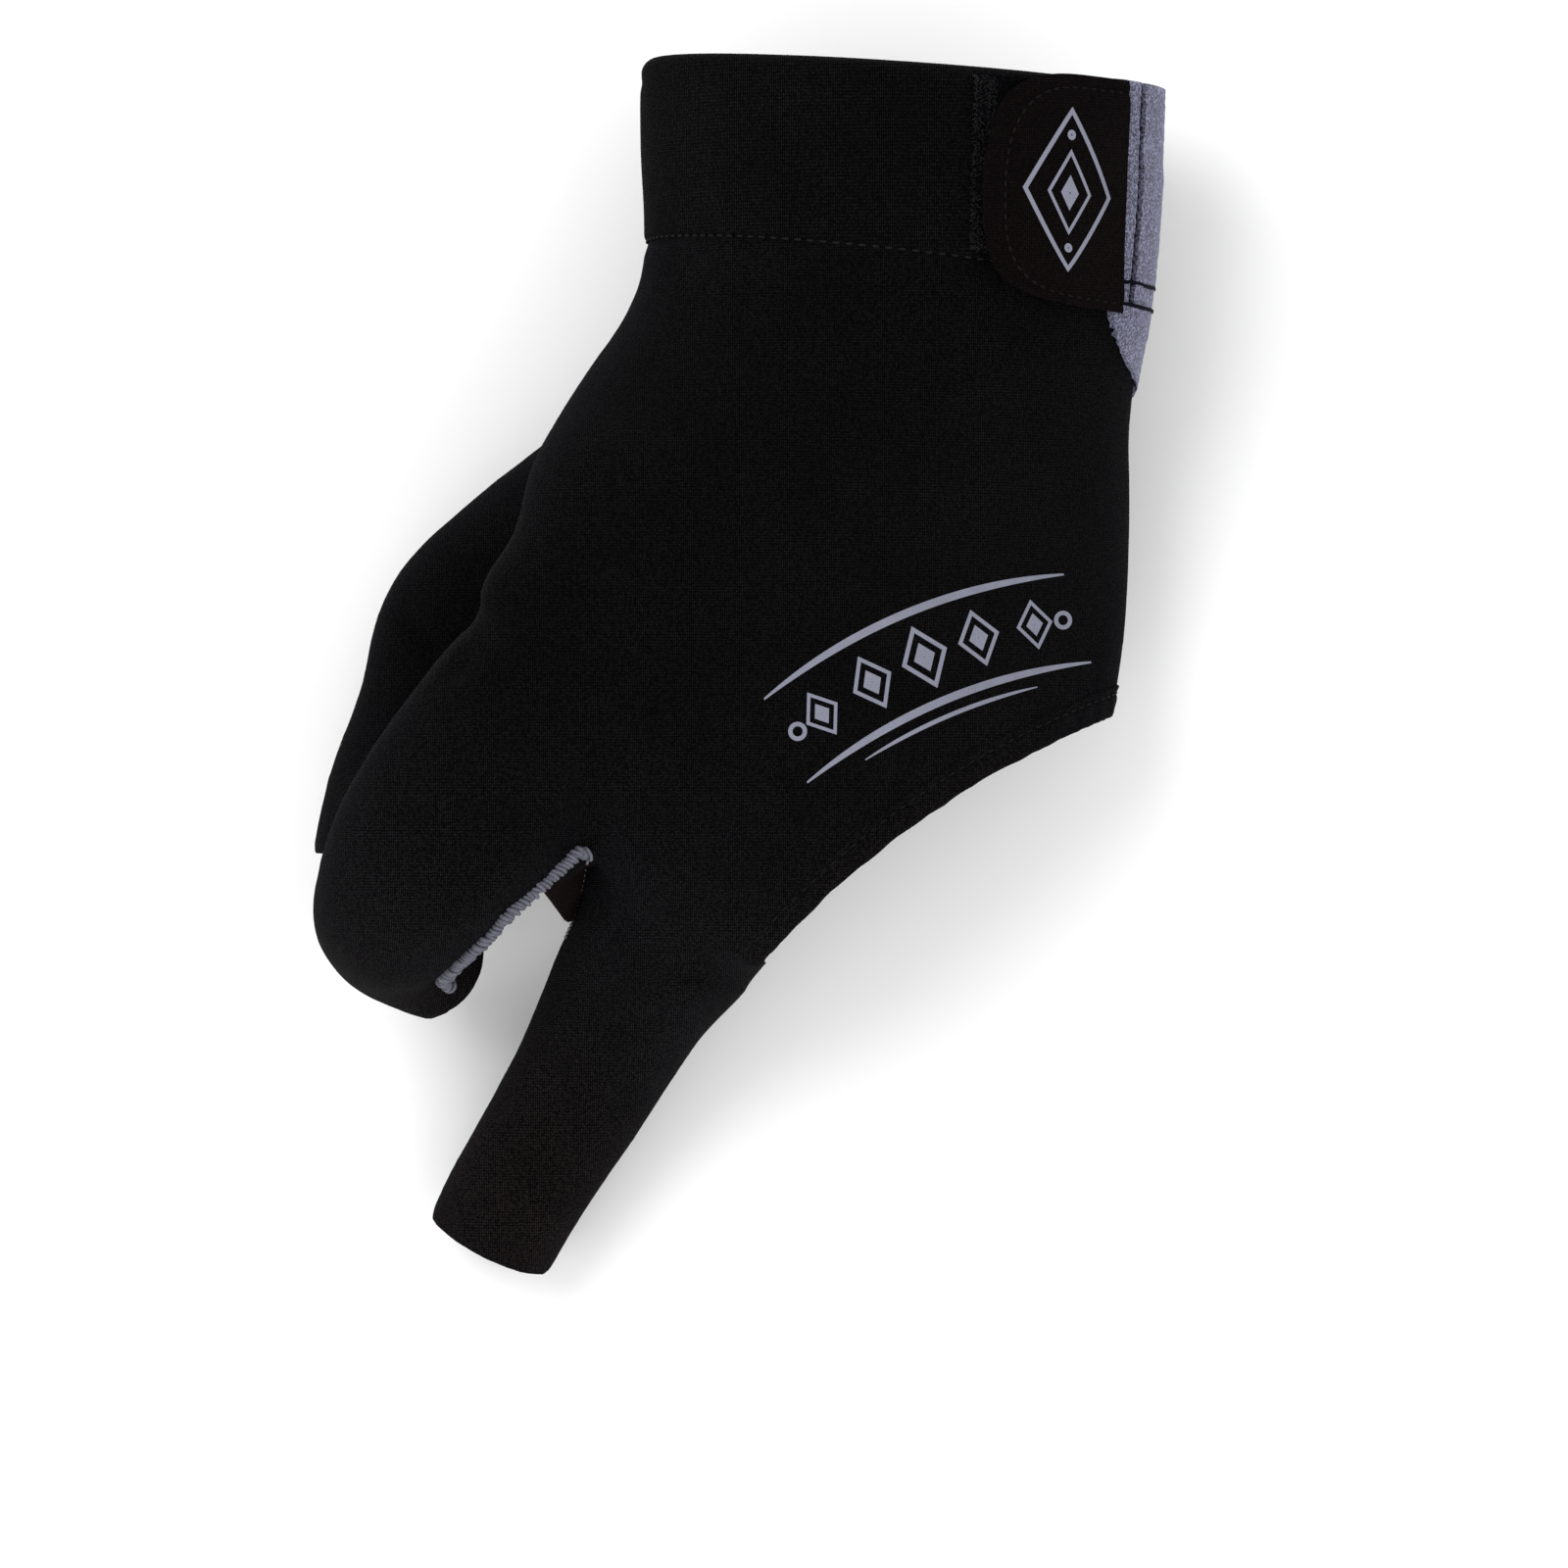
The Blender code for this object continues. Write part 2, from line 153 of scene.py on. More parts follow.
# The cloth that bridges the fork between the index and the middle sleeve
FORK_WEB = [
    SleeveSection(-0.475, 0.606, 0.283, 0.0090, 0.0070),
    SleeveSection(-0.544, 0.644, 0.258, 0.0066, 0.0056),
    SleeveSection(-0.607, 0.670, 0.308, 0.0062, 0.0056),
    SleeveSection(-0.681, 0.695, 0.342, 0.0060, 0.0060),
]
SLEEVE_STEPS = 6

# Where the hem beside the bare fingers starts and ends, in shares as above
HEM_LITTLE_END = (0.382, 0.546)
HEM_MIDDLE_END = (-0.221, 0.747)
HEM_PIECES = 14
OPENING_SHARE = 1.015
HEM_END_SHARE = 1.07
HEM_PROUD = 0.00035
HEM_SEAM = 0.0036

# How far the sleeves' ends are trimmed, and how near two parts lie where they are blended
END_TRIM = 0.0009
JOIN_REACH = 0.0035

# Places on the cuff. A row counts HAND sections, so 0 to 1 is the cuff.
Patch = namedtuple("Patch", "start_angle end_angle start_row end_row")
TAB = Patch(35.5, 71.8, 0.02, 1.22)
LOOP_TAPE = Patch(37.5, 73.0, 0.07, 0.89)
BACK_STRIP = Patch(26.3, 34.0, 0.0, 1.12)
PALM_STRIP = Patch(-16.0, 23.5, 0.0, 1.12)
TAIL = Patch(-16.0, 33.5, 1.09, 2.36)
TAIL_THICKNESS = 0.0014
BAR_TACK_ROWS = (0.93, 1.095)
TAB_LIFT = 2 * TRIM_GAP + LOOP_PATCH_THICKNESS
TAPE_LOOPS = 620
TAPE_THREAD_RADIUS = 0.000045

# Folds of the stretch fabric, seen from above: each runs from start to end, in metres
Fold = namedtuple("Fold", "start end width depth")
FOLDS = [
    Fold((-0.0695, -0.0762), (-0.0625, -0.0815), 0.0016, 1.3),
    Fold((-0.0710, -0.0800), (-0.0650, -0.0840), 0.0013, 0.6),
    Fold((-0.0625, -0.0855), (-0.0560, -0.0800), 0.0018, 0.7),
    Fold((-0.0350, -0.0300), (-0.0120, -0.0335), 0.0022, 0.45),
    Fold((0.0050, -0.0345), (0.0290, -0.0400), 0.0024, 0.5),
    Fold((-0.0400, -0.1020), (-0.0200, -0.1080), 0.0030, 0.35),
    Fold((-0.0620, -0.1130), (-0.0520, -0.1040), 0.0028, 0.45),
    Fold((-0.0360, -0.1290), (-0.0240, -0.1220), 0.0022, 0.5),
    Fold((-0.0400, -0.1340), (-0.0300, -0.1290), 0.0018, 0.4),
    Fold((0.0260, -0.0800), (0.0120, -0.0860), 0.0026, 0.35),
]


LENGTH = {"subtype": "DISTANCE", "unit": "LENGTH"}
COLOUR = {"subtype": "COLOR", "size": 3, "min": 0.0, "max": 1.0}


class GloveSizes(bpy.types.PropertyGroup):
    """Sizes of the fabric and of the sewn details."""

    skin_fineness: bpy.props.FloatProperty(
        name="Skin Fineness",
        description="Width of the faces that the stretch fabric is shaped with",
        default=0.001, min=0.0007, max=0.003, **LENGTH,
    )
    fabric_wall: bpy.props.FloatProperty(
        name="Fabric Thickness",
        description="Thickness of the stretch fabric",
        default=0.0011, min=0.0005, max=0.002, **LENGTH,
    )
    fold_depth: bpy.props.FloatProperty(
        name="Fold Depth",
        description="Depth of the folds at the joints and along the seams",
        default=0.0009, min=0.0, max=0.002, **LENGTH,
    )
    knit_pitch: bpy.props.FloatProperty(
        name="Knit Pitch",
        description="Distance between two columns of knitted loops",
        default=0.0005, min=0.0002, max=0.002, **LENGTH,
    )
    thread_diameter: bpy.props.FloatProperty(
        name="Thread Diameter",
        description="Diameter of the sewing thread",
        default=0.00042, min=0.0002, max=0.001, **LENGTH,
    )
    stitch_length: bpy.props.FloatProperty(
        name="Stitch Length",
        description="Length of one stitch that shows",
        default=0.0017, min=0.0008, max=0.005, **LENGTH,
    )
    camera_height: bpy.props.FloatProperty(
        name="Camera Height",
        description="Height of the camera above the back of the hand",
        default=1.05, min=0.5, max=3.0, **LENGTH,
    )


class GloveColours(bpy.types.PropertyGroup):
    """Colours of the fabric, the trims and the prints."""

    knit: bpy.props.FloatVectorProperty(
        name="Knit",
        description="Colour of the stretch fabric",
        default=(0.0007, 0.0007, 0.00078), **COLOUR,
    )
    suede: bpy.props.FloatVectorProperty(
        name="Binding",
        description="Colour of the brushed binding beside the tab",
        default=(0.105, 0.108, 0.163), **COLOUR,
    )
    overlock: bpy.props.FloatVectorProperty(
        name="Overlock Thread",
        description="Colour of the thread on the overlocked edge",
        default=(0.12, 0.12, 0.155), **COLOUR,
    )
    transfer: bpy.props.FloatVectorProperty(
        name="Print",
        description="Colour of the printed shapes",
        default=(0.13, 0.135, 0.175), **COLOUR,
    )


# Shapes


def place(x, y, z):
    """A point given in shares of the hand's width, length and height."""
    return Vector((x * PALM_WIDTH, -y * HAND_LENGTH, z * BRIDGE_HEIGHT))


def smooth_row(rows, at):
    """The values at a fractional row number, on a curve through every row."""
    first = max(0, min(int(math.floor(at)), len(rows) - 2))
    t = at - first
    before, after = max(first - 1, 0), min(first + 2, len(rows) - 1)
    if not 0.0 <= t <= 1.0:
        return [a + (b - a) * t for a, b in zip(rows[first], rows[first + 1])]
    values = []
    for p0, p1, p2, p3 in zip(rows[before], rows[first], rows[first + 1], rows[after]):
        m1, m2 = (p2 - p0) / 2, (p3 - p1) / 2
        values.append(
            p1 * (2 * t**3 - 3 * t**2 + 1) + m1 * (t**3 - 2 * t**2 + t)
            + p2 * (3 * t**2 - 2 * t**3) + m2 * (t**3 - t**2)
        )
    return values


def hand_ring(at):
    """The hand's cross-section at a fractional row of HAND."""
    section = HandSection(*smooth_row(HAND, at))
    thumb_side = place(section.thumb_x, section.thumb_y, section.thumb_z)
    little_side = place(section.little_x, section.little_y, section.little_z)
    across = little_side - thumb_side
    side = across.normalized()
    up = (UPRIGHT - side * side.dot(UPRIGHT)).normalized()
    centre = (thumb_side + little_side) / 2
    return Ring(centre, side, up, across.length / 2, section.depth * WRIST_DEPTH / 2)


def hand_rings(first, last, steps):
    return [hand_ring(first + (last - first) * i / steps) for i in range(steps + 1)]


def carried_rings(centres, half_sizes):
    """Cross-sections along a path, each turned as little as possible from the last."""
    rings = []
    side = None
    for i, (half_width, half_depth) in enumerate(half_sizes):
        before, after = centres[max(i - 1, 0)], centres[min(i + 1, len(centres) - 1)]
        along = (after - before).normalized()
        if side is None:
            side = along.cross(UPRIGHT)
            if side.length < 0.1:
                side = along.cross(Vector((1, 0, 0)))
        side = (side - along * side.dot(along)).normalized()
        rings.append(Ring(centres[i], side, side.cross(along), half_width, half_depth))
    return rings


def sleeve_rings(rows):
    steps = (len(rows) - 1) * SLEEVE_STEPS
    sections = [SleeveSection(*smooth_row(rows, i / SLEEVE_STEPS)) for i in range(steps + 1)]
    centres = [place(s.x, s.y, s.z) for s in sections]
    return carried_rings(centres, [(s.width / 2, s.depth / 2) for s in sections])


def ring_point(ring, angle, offset):
    """A point on a cross-section's outline, moved outwards by offset."""
    width, depth = ring.half_width + offset, ring.half_depth + offset
    return ring.centre + ring.side * (width * math.cos(angle)) + ring.up * (depth * math.sin(angle))


def on_hand(row, degrees, lift):
    return ring_point(hand_ring(row), math.radians(degrees), lift)


def bend_grid(bm, columns, rows, point_at, wrap_columns=False, wrap_rows=False):
    """Adds a grid to bm, bent to point_at(u, v) and closed where it wraps round."""
    made = bmesh.ops.create_grid(bm, x_segments=columns, y_segments=rows, size=1.0)["verts"]
    for vert in made:
        vert.co = point_at((vert.co.x + 1) / 2, (vert.co.y + 1) / 2)
    if wrap_columns or wrap_rows:
        bmesh.ops.remove_doubles(bm, verts=made, dist=SMALL)


def close_holes(bm):
    bmesh.ops.holes_fill(bm, edges=[edge for edge in bm.edges if edge.is_boundary], sides=0)


def add_tube(bm, rings, sides):
    """Adds a closed tube through the rings' outlines."""

    def point_at(u, v):
        return ring_point(rings[round(v * (len(rings) - 1))], 2 * math.pi * u, 0.0)

    bend_grid(bm, sides, len(rings) - 1, point_at, wrap_columns=True)
    close_holes(bm)


def add_thread(bm, points, radius, sides=6):
    add_tube(bm, carried_rings(points, [(radius, radius)] * len(points)), sides)


def new_piece(name, bm, *materials):
    """A smooth-shaded object from bm, with its normals facing out."""
    mesh = bpy.data.meshes.new(name)
    bm.to_mesh(mesh)
    bm.free()
    for material in materials:
        mesh.materials.append(material)
    mesh.shade_smooth()
    piece = bpy.data.objects.new(name, mesh)
    bpy.context.scene.collection.objects.link(piece)
    return piece


def join_rules(piece, *nodes):
    """The piece rides on the glove and stands for nodes, which it hides."""
    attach(piece, "root")
    if nodes:
        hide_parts(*nodes)


def shaped(piece):
    """A bmesh of the piece with its modifiers applied. The piece is removed."""
    graph = bpy.context.evaluated_depsgraph_get()
    mesh = bpy.data.meshes.new_from_object(piece.evaluated_get(graph))
    bpy.data.objects.remove(piece)
    bm = bmesh.new()
    bm.from_mesh(mesh)
    bpy.data.meshes.remove(mesh)
    return bm


def face_out(bm):
    bmesh.ops.recalc_face_normals(bm, faces=bm.faces)
    if bm.calc_volume(signed=True) < 0:
        bmesh.ops.reverse_faces(bm, faces=bm.faces)


# The stretch fabric


def seam_row(degrees):
    """The row of the seam below the cuff, which bows towards the wrist on the back."""
    return SEAM_ROW - SEAM_BOW * max(0.0, math.sin(math.radians(degrees)))


def seam_sink(point):
    """How far the fabric sinks at the seam and runs in under the cuff."""
    seam = hand_ring(SEAM_ROW)
    offset = point - seam.centre
    beyond = abs(offset.dot(seam.side.cross(seam.up)))
    if offset.y < offset.dot(seam.side) * seam.side.y:
        beyond = -beyond
    beyond -= SEAM_BOW * CUFF_LENGTH * max(0.0, offset.dot(seam.up) / seam.half_depth)
    groove = 0.0005 * math.exp(-((beyond / 0.0012) ** 2))
    return groove + 0.0009 * min(1.0, max(0.0, beyond / 0.0008))


def hem_frame():
    """The hem's start, its direction and the direction from it towards the wrist."""
    start, end = place(*HEM_LITTLE_END, 0.0), place(*HEM_MIDDLE_END, 0.0)
    along = (end - start).normalized()
    to_wrist = Vector((along.y, -along.x, 0.0))
    if to_wrist.y < 0:
        to_wrist.negate()
    return start, along, to_wrist, (end - start).length


def hem_bow(share):
    if share < 0:
        return 4 * share
    if share > 1:
        return 4 * (1 - share)
    return 4 * share * (1 - share)


def hem_share(point):
    """How far along the hem a point lies, as a share of the hem's length."""
    start, along, _, length = hem_frame()
    return (point - start).dot(along) / length


def before_hem(point):
    """How far a point lies on the wrist's side of the hem, as seen from above."""
    start, _, to_wrist, _ = hem_frame()
    return (point - start).dot(to_wrist) - HEM_BOW * hem_bow(hem_share(point))


def cut_at(bm, faces, point, normal, clear=False):
    """Cuts some faces at a plane, and removes what lies beyond it if clear is set."""
    parts = list(faces)
    for face in faces:
        parts += [*face.verts, *face.edges]
    parts = list(dict.fromkeys(parts))
    bmesh.ops.bisect_plane(
        bm, geom=parts, dist=SMALL, plane_co=point, plane_no=normal, clear_outer=clear
    )


def cut_along_hem(bm, inset):
    """Cuts bm's faces along the bowed line that lies inset from the hem."""
    start, along, to_wrist, length = hem_frame()
    shares = [-0.6 + 2.2 * i / HEM_PIECES for i in range(HEM_PIECES + 1)]
    for low, high in zip(shares, shares[1:]):
        a, b = (
            start + along * (length * share) + to_wrist * (HEM_BOW * hem_bow(share) + inset)
            for share in (low, high)
        )
        line = b - a
        margin = 0.6 * line.length
        faces = []
        for face in bm.faces:
            at = (face.calc_center_median() - a).dot(line.normalized())
            if -margin < at < line.length + margin:
                faces.append(face)
        cut_at(bm, faces, a, line.cross(UPRIGHT).normalized())


def tree_of(rings, sides=48):
    bm = bmesh.new()
    add_tube(bm, rings, sides)
    tree = BVHTree.FromBMesh(bm)
    bm.free()
    return tree


def hand_block():
    """The hand's form as a closed block that ends at the hem."""
    bm = bmesh.new()
    add_tube(bm, hand_rings(SEAM_ROW - 0.25, LAST_ROW, 60), 72)
    face_out(bm)
    cut_along_hem(bm, 0.0)
    beyond = [face for face in bm.faces if before_hem(face.calc_center_median()) < 0]
    bmesh.ops.delete(bm, geom=beyond, context="FACES")
    close_holes(bm)
    bmesh.ops.triangulate(bm, faces=[face for face in bm.faces if len(face.verts) > 4])
    return bm


def fold_paths(tree):
    """Each fold as points on the fabric, found from above."""
    paths = []
    for fold in FOLDS:
        start, end = Vector((*fold.start, 0.1)), Vector((*fold.end, 0.1))
        points = []
        for i in range(9):
            hit = tree.ray_cast(start.lerp(end, i / 8), -UPRIGHT)[0]
            if hit:
                points.append(hit)
        paths.append(points)
    return paths


def press_folds(bm, depth):
    """Presses the folds and a soft unevenness into the fabric."""
    tree = BVHTree.FromBMesh(bm)
    paths = fold_paths(tree)
    bm.normal_update()
    moves = []
    for vert in bm.verts:
        swell = noise.noise(vert.co * 70.0) * 0.00022 + noise.noise(vert.co * 190.0) * 0.00007
        for fold, points in zip(FOLDS, paths):
            if not points or (vert.co - points[len(points) // 2]).length > 0.02:
                continue
            gap, place_on_path = min(((vert.co - p).length, i) for i, p in enumerate(points))
            taper = math.sin(math.pi * (place_on_path + 0.5) / len(points))
            x = gap / fold.width
            ridge = 0.35 * math.exp(-((x - 2) ** 2))
            swell += depth * fold.depth * taper * (ridge - math.exp(-x * x))
        moves.append(swell - seam_sink(vert.co))
    for vert, move in zip(bm.verts, moves):
        vert.co += vert.normal * move


def relax(bm, verts, times):
    for _ in range(times):
        bmesh.ops.smooth_vert(
            bm, verts=verts, factor=0.5, use_axis_x=True, use_axis_y=True, use_axis_z=True
        )


def worn_skin(sizes):
    """The outside of the worn fabric as one closed skin, and each face's own part."""
    sleeves = {"index": sleeve_rings(INDEX), "middle": sleeve_rings(MIDDLE)}
    sleeves["thumb"] = sleeve_rings(THUMB)
    bm = hand_block()
    add_tube(bm, sleeve_rings(FORK_WEB), 24)
    trees = {"hand": BVHTree.FromBMesh(bm)}
    for label, rings in sleeves.items():
        add_tube(bm, rings, 40)
        trees[label] = tree_of(rings)
    block = new_piece("skin_block", bm)
    remesh = block.modifiers.new("skin", "REMESH")
    remesh.mode = "VOXEL"
    remesh.voxel_size = sizes.skin_fineness
    bm = shaped(block)

    def nearest(vert):
        return sorted((tree.find_nearest(vert.co)[3], label) for label, tree in trees.items())

    owner = {}
    joins = []
    for vert in bm.verts:
        (first, label), (second, _) = nearest(vert)[:2]
        owner[vert] = label
        if second < JOIN_REACH:
            joins.append(vert)
    relax(bm, bm.verts, 6)
    relax(bm, joins, 30)
    press_folds(bm, sizes.fold_depth)
    part = bm.faces.layers.int.new("part")
    labels = sorted(trees)
    for face in bm.faces:
        counts = [sum(owner[vert] == label for vert in face.verts) for label in labels]
        face[part] = counts.index(max(counts))
    ends = {label: rings[-1] for label, rings in sleeves.items()}
    starts = {label: rings[-2] for label, rings in sleeves.items()}
    return bm, labels, ends, starts


def open_skin(bm, labels, ends, starts):
    """Opens the skin at the wrist, the hem and the end of each sleeve."""
    seam = hand_ring(SEAM_ROW)
    to_wrist = seam.side.cross(seam.up)
    if to_wrist.y < 0:
        to_wrist.negate()
    cut_at(bm, bm.faces[:], seam.centre + to_wrist * SEAM_OVERLAP, to_wrist, clear=True)
    part = bm.faces.layers.int["part"]
    for label, ring in ends.items():
        outwards = (ring.centre - starts[label].centre).normalized()
        own = [face for face in bm.faces if face[part] == labels.index(label)]
        cut_at(bm, own, ring.centre - outwards * END_TRIM, outwards, clear=True)
    hand = labels.index("hand")
    cut_along_hem(bm, HEM_OVERLAP)
    beyond = []
    for face in bm.faces:
        centre = face.calc_center_median()
        past_hem = before_hem(centre) < HEM_OVERLAP and hem_share(centre) < OPENING_SHARE
        if face[part] == hand and past_hem:
            beyond.append(face)
    bmesh.ops.delete(bm, geom=beyond, context="FACES")
    loose = [vert for vert in bm.verts if not vert.link_faces]
    bmesh.ops.delete(bm, geom=loose, context="VERTS")


def add_wall(piece, thickness, offset):
    wall = piece.modifiers.new("wall", "SOLIDIFY")
    wall.thickness = thickness
    wall.offset = offset
    return wall


def add_piece(name, bm, material, *nodes):
    """A finished piece of one material, which stands for nodes."""
    piece = new_piece(name, bm, material)
    join_rules(piece, *nodes)
    return piece


class GLOVE_OT_stretch_shell(bpy.types.Operator):
    """Builds the back, palm and three sleeves as one skin of stretch fabric"""

    bl_idname = "glove.stretch_shell"
    bl_label = "Stretch Shell"

    def execute(self, context):
        sizes = context.scene.glove_sizes
        bm, labels, ends, starts = worn_skin(sizes)
        SURFACES["skin"] = BVHTree.FromBMesh(bm)
        open_skin(bm, labels, ends, starts)
        shell = new_piece("stretch_shell", bm, knit_fabric(context), lining_fabric())
        add_wall(shell, sizes.fabric_wall, -1.0).material_offset = 1
        join_rules(shell, "hand_body", "index_sleeve", "middle_sleeve", "thumb_sleeve")
        return {"FINISHED"}


# Sewing


def drape(point, lift=0.0):
    """The nearest point on the worn fabric, raised by lift, and the way out of it."""
    spot, normal = SURFACES["skin"].find_nearest(point)[:2]
    return spot + normal * lift, normal


def drop(x, y, lift=0.0):
    """The point on the back of the glove below (x, y), raised by lift."""
    spot, normal = SURFACES["skin"].ray_cast(Vector((x, y, 0.1)), -UPRIGHT)[:2]
    return spot + normal * lift


def wrist_spot(row, degrees, lift):
    point = on_hand(row, degrees, lift)
    return point, (on_hand(row, degrees, lift + 0.001) - point).normalized()


def add_stitch(bm, start, end, normal, radius):
    """Adds one short length of thread lying on the cloth."""
    along = end - start
    across = normal.cross(along).normalized()
    upright = along.cross(across).normalized()
    turn = Matrix((across * radius, upright * radius, along / 2)).transposed().to_4x4()
    placed = Matrix.Translation((start + end) / 2) @ turn
    bmesh.ops.create_uvsphere(bm, u_segments=6, v_segments=6, radius=1.0, matrix=placed)


def sew(bm, spot_at, length, pitch, reach, radius):
    """Adds a row of stitches. spot_at(share) gives a point and the way out of the cloth."""
    count = max(1, round(length / pitch))
    half = 0.5 * reach / pitch / count
    for i in range(count):
        middle = (i + 0.5) / count
        start, normal = spot_at(middle - half)
        add_stitch(bm, start, spot_at(middle + half)[0], normal, radius)


def thicken(bm, thickness, edge, segments):
    """Gives the sheet in bm a thickness and rounds its rim off."""
    bm.normal_update()
    bmesh.ops.solidify(bm, geom=bm.faces[:], thickness=thickness)
    face_out(bm)
    bmesh.ops.bevel(
        bm,
        geom=[rim for rim in bm.edges if rim.calc_face_angle(0.0) > 1.0],
        offset=edge,
        offset_type="OFFSET",
        segments=segments,
        profile=0.5,
        affect="EDGES",
        clamp_overlap=True,
        material=-1,
    )


def patch_place(patch, u, v):
    """The angle round the wrist and the row at (u, v) on a patch."""
    degrees = patch.start_angle + (patch.end_angle - patch.start_angle) * u
    return degrees, patch.start_row + (patch.end_row - patch.start_row) * v


def patch_form(patch, columns, rows, lift, thickness, edge, narrow=None, relief=None):
    """A slab that hugs the wrist, with rounded edges.

    narrow(u) is the share of its height left at u, and relief(u, v) is added to its face.
    """

    def point_at(u, v):
        share = 0.5 + (v - 0.5) * (narrow(u) if narrow else 1.0)
        degrees, row = patch_place(patch, u, share)
        raised = relief(u, share) if relief else 0.0
        return on_hand(row, degrees, lift + thickness + raised)

    bm = bmesh.new()
    bend_grid(bm, columns, rows, point_at)
    thicken(bm, thickness, edge, 3)
    return bm


# The cuff


# The dotted seam: its share of the cuff's length, and its own length with the overlap
CUFF_SEAM_SHARE = 0.987
CUFF_SEAM_LENGTH = 0.200


def cuff_profile():
    """The cuff's cross-section all the way round, as shares of its length and lifts."""
    half = CUFF_WALL / 2
    turn = half / CUFF_LENGTH
    points = []
    for i in range(45):
        points.append((turn + (1 - 2 * turn) * i / 44, 0.0))
    for i in range(1, 8):
        angle = math.pi * i / 8
        points.append((1 - turn + turn * math.sin(angle), half * (math.cos(angle) - 1)))
    for i in range(45):
        points.append((1 - turn - (1 - 2 * turn) * i / 44, -CUFF_WALL))
    for i in range(1, 9):
        angle = math.pi * i / 8
        points.append((turn - turn * math.sin(angle), -half * (math.cos(angle) + 1)))
    return points


def cuff_swell(share, degrees):
    """How far the padded cuff bulges out, and rolls in at its top edge."""
    swell = 0.0005 * math.sin(math.pi * min(1.0, max(0.0, share)))
    rolled = max(0.0, 1 - share / 0.13)
    hem = math.exp(-(((share - 0.20) / 0.035) ** 2))
    drawn_in = max(0.0, (share - 0.93) / 0.07)
    angle = math.radians(degrees)
    place_on = Vector((math.cos(angle) * 2.2, math.sin(angle) * 2.2, share * 2.0))
    uneven = 0.0005 * noise.noise(place_on)
    return swell - 0.0017 * rolled**2 - 0.00018 * hem - 0.0005 * drawn_in**2 + uneven


class GLOVE_OT_wrist_cuff(bpy.types.Operator):
    """Builds the padded cuff with its rolled top edge and its seam"""

    bl_idname = "glove.wrist_cuff"
    bl_label = "Wrist Cuff"

    def execute(self, context):
        profile = cuff_profile()

        def point_at(u, v):
            share, lift = profile[round(v * (len(profile) - 1))]
            degrees = 360.0 * u
            return on_hand(share * seam_row(degrees), degrees, lift + cuff_swell(share, degrees))

        bm = bmesh.new()
        bend_grid(bm, 200, len(profile) - 1, point_at, wrap_columns=True, wrap_rows=True)
        face_out(bm)
        add_piece("cuff_fabric", bm, cuff_fabric(context), "wrist_cuff")

        sizes = context.scene.glove_sizes
        radius = sizes.thread_diameter / 2

        def along_seam(share):
            degrees = 400.0 * share - 20.0
            row = CUFF_SEAM_SHARE * seam_row(degrees)
            return wrist_spot(row, degrees, cuff_swell(CUFF_SEAM_SHARE, degrees) - 0.0001)

        bm = bmesh.new()
        sew(bm, along_seam, CUFF_SEAM_LENGTH, sizes.stitch_length * 0.9, 0.00095, radius)
        add_piece("cuff_stitches", bm, sewing_thread("cuff_thread"))
        return {"FINISHED"}


# The closure


TAB_WIDTH = 0.0214
TAB_HEIGHT = 0.0330
TAB_ROUND = 0.66
TAB_STITCH_INSET = 0.0026
TAB_BORDER_LENGTH = 0.064
# The power of the rounded end's outline, a little squarer than an ellipse
TAB_POWER = 2.6


def tab_narrowing(u):
    """The share of the tab's height that is left at u, towards its rounded end."""
    t = max(0.0, (u - (1 - TAB_ROUND)) / TAB_ROUND) * 0.985
    return (1 - t**TAB_POWER) ** (1 / TAB_POWER)


def tab_outline(share, inset):
    """A point at share along the tab's outline, moved in from it, as (u, v)."""
    width, height = TAB_WIDTH - inset, TAB_HEIGHT - 2 * inset
    straight = (1 - TAB_ROUND) * TAB_WIDTH
    turn = width - straight
    total = 2 * straight + height + turn
    at = share * total
    if at < straight:
        return at / TAB_WIDTH, 0.5 - height / TAB_HEIGHT / 2
    if at > total - straight:
        return (total - at) / TAB_WIDTH, 0.5 + height / TAB_HEIGHT / 2
    angle = math.pi * ((at - straight) / (total - 2 * straight) - 0.5)
    across, up = math.cos(angle), math.sin(angle)
    x = straight + turn * across ** (2 / TAB_POWER)
    y = math.copysign(abs(up) ** (2 / TAB_POWER), up) * height / 2
    return x / TAB_WIDTH, 0.5 + y / TAB_HEIGHT


def tab_relief(u, v):
    """The tab's face: padded, and drawn in along its stitched border."""
    left = tab_narrowing(min(1.0, u))
    upright = (left - abs(2 * v - 1)) * TAB_HEIGHT / 2
    endwise = (1 - u) * TAB_WIDTH
    from_edge = max(0.0, min(upright, endwise))
    drawn = math.exp(-(((from_edge - TAB_STITCH_INSET) / 0.0006) ** 2))
    padded = min(1.0, from_edge / 0.0024)
    return 0.00025 * padded - 0.00032 * drawn + 0.0004 * noise.noise(Vector((u * 2.0, v * 2.6, 4.0)))


def tab_spot(u, v, lift):
    degrees, row = patch_place(TAB, u, v)
    return wrist_spot(row, degrees, TAB_LIFT + TAB_THICKNESS + tab_relief(u, v) + lift)


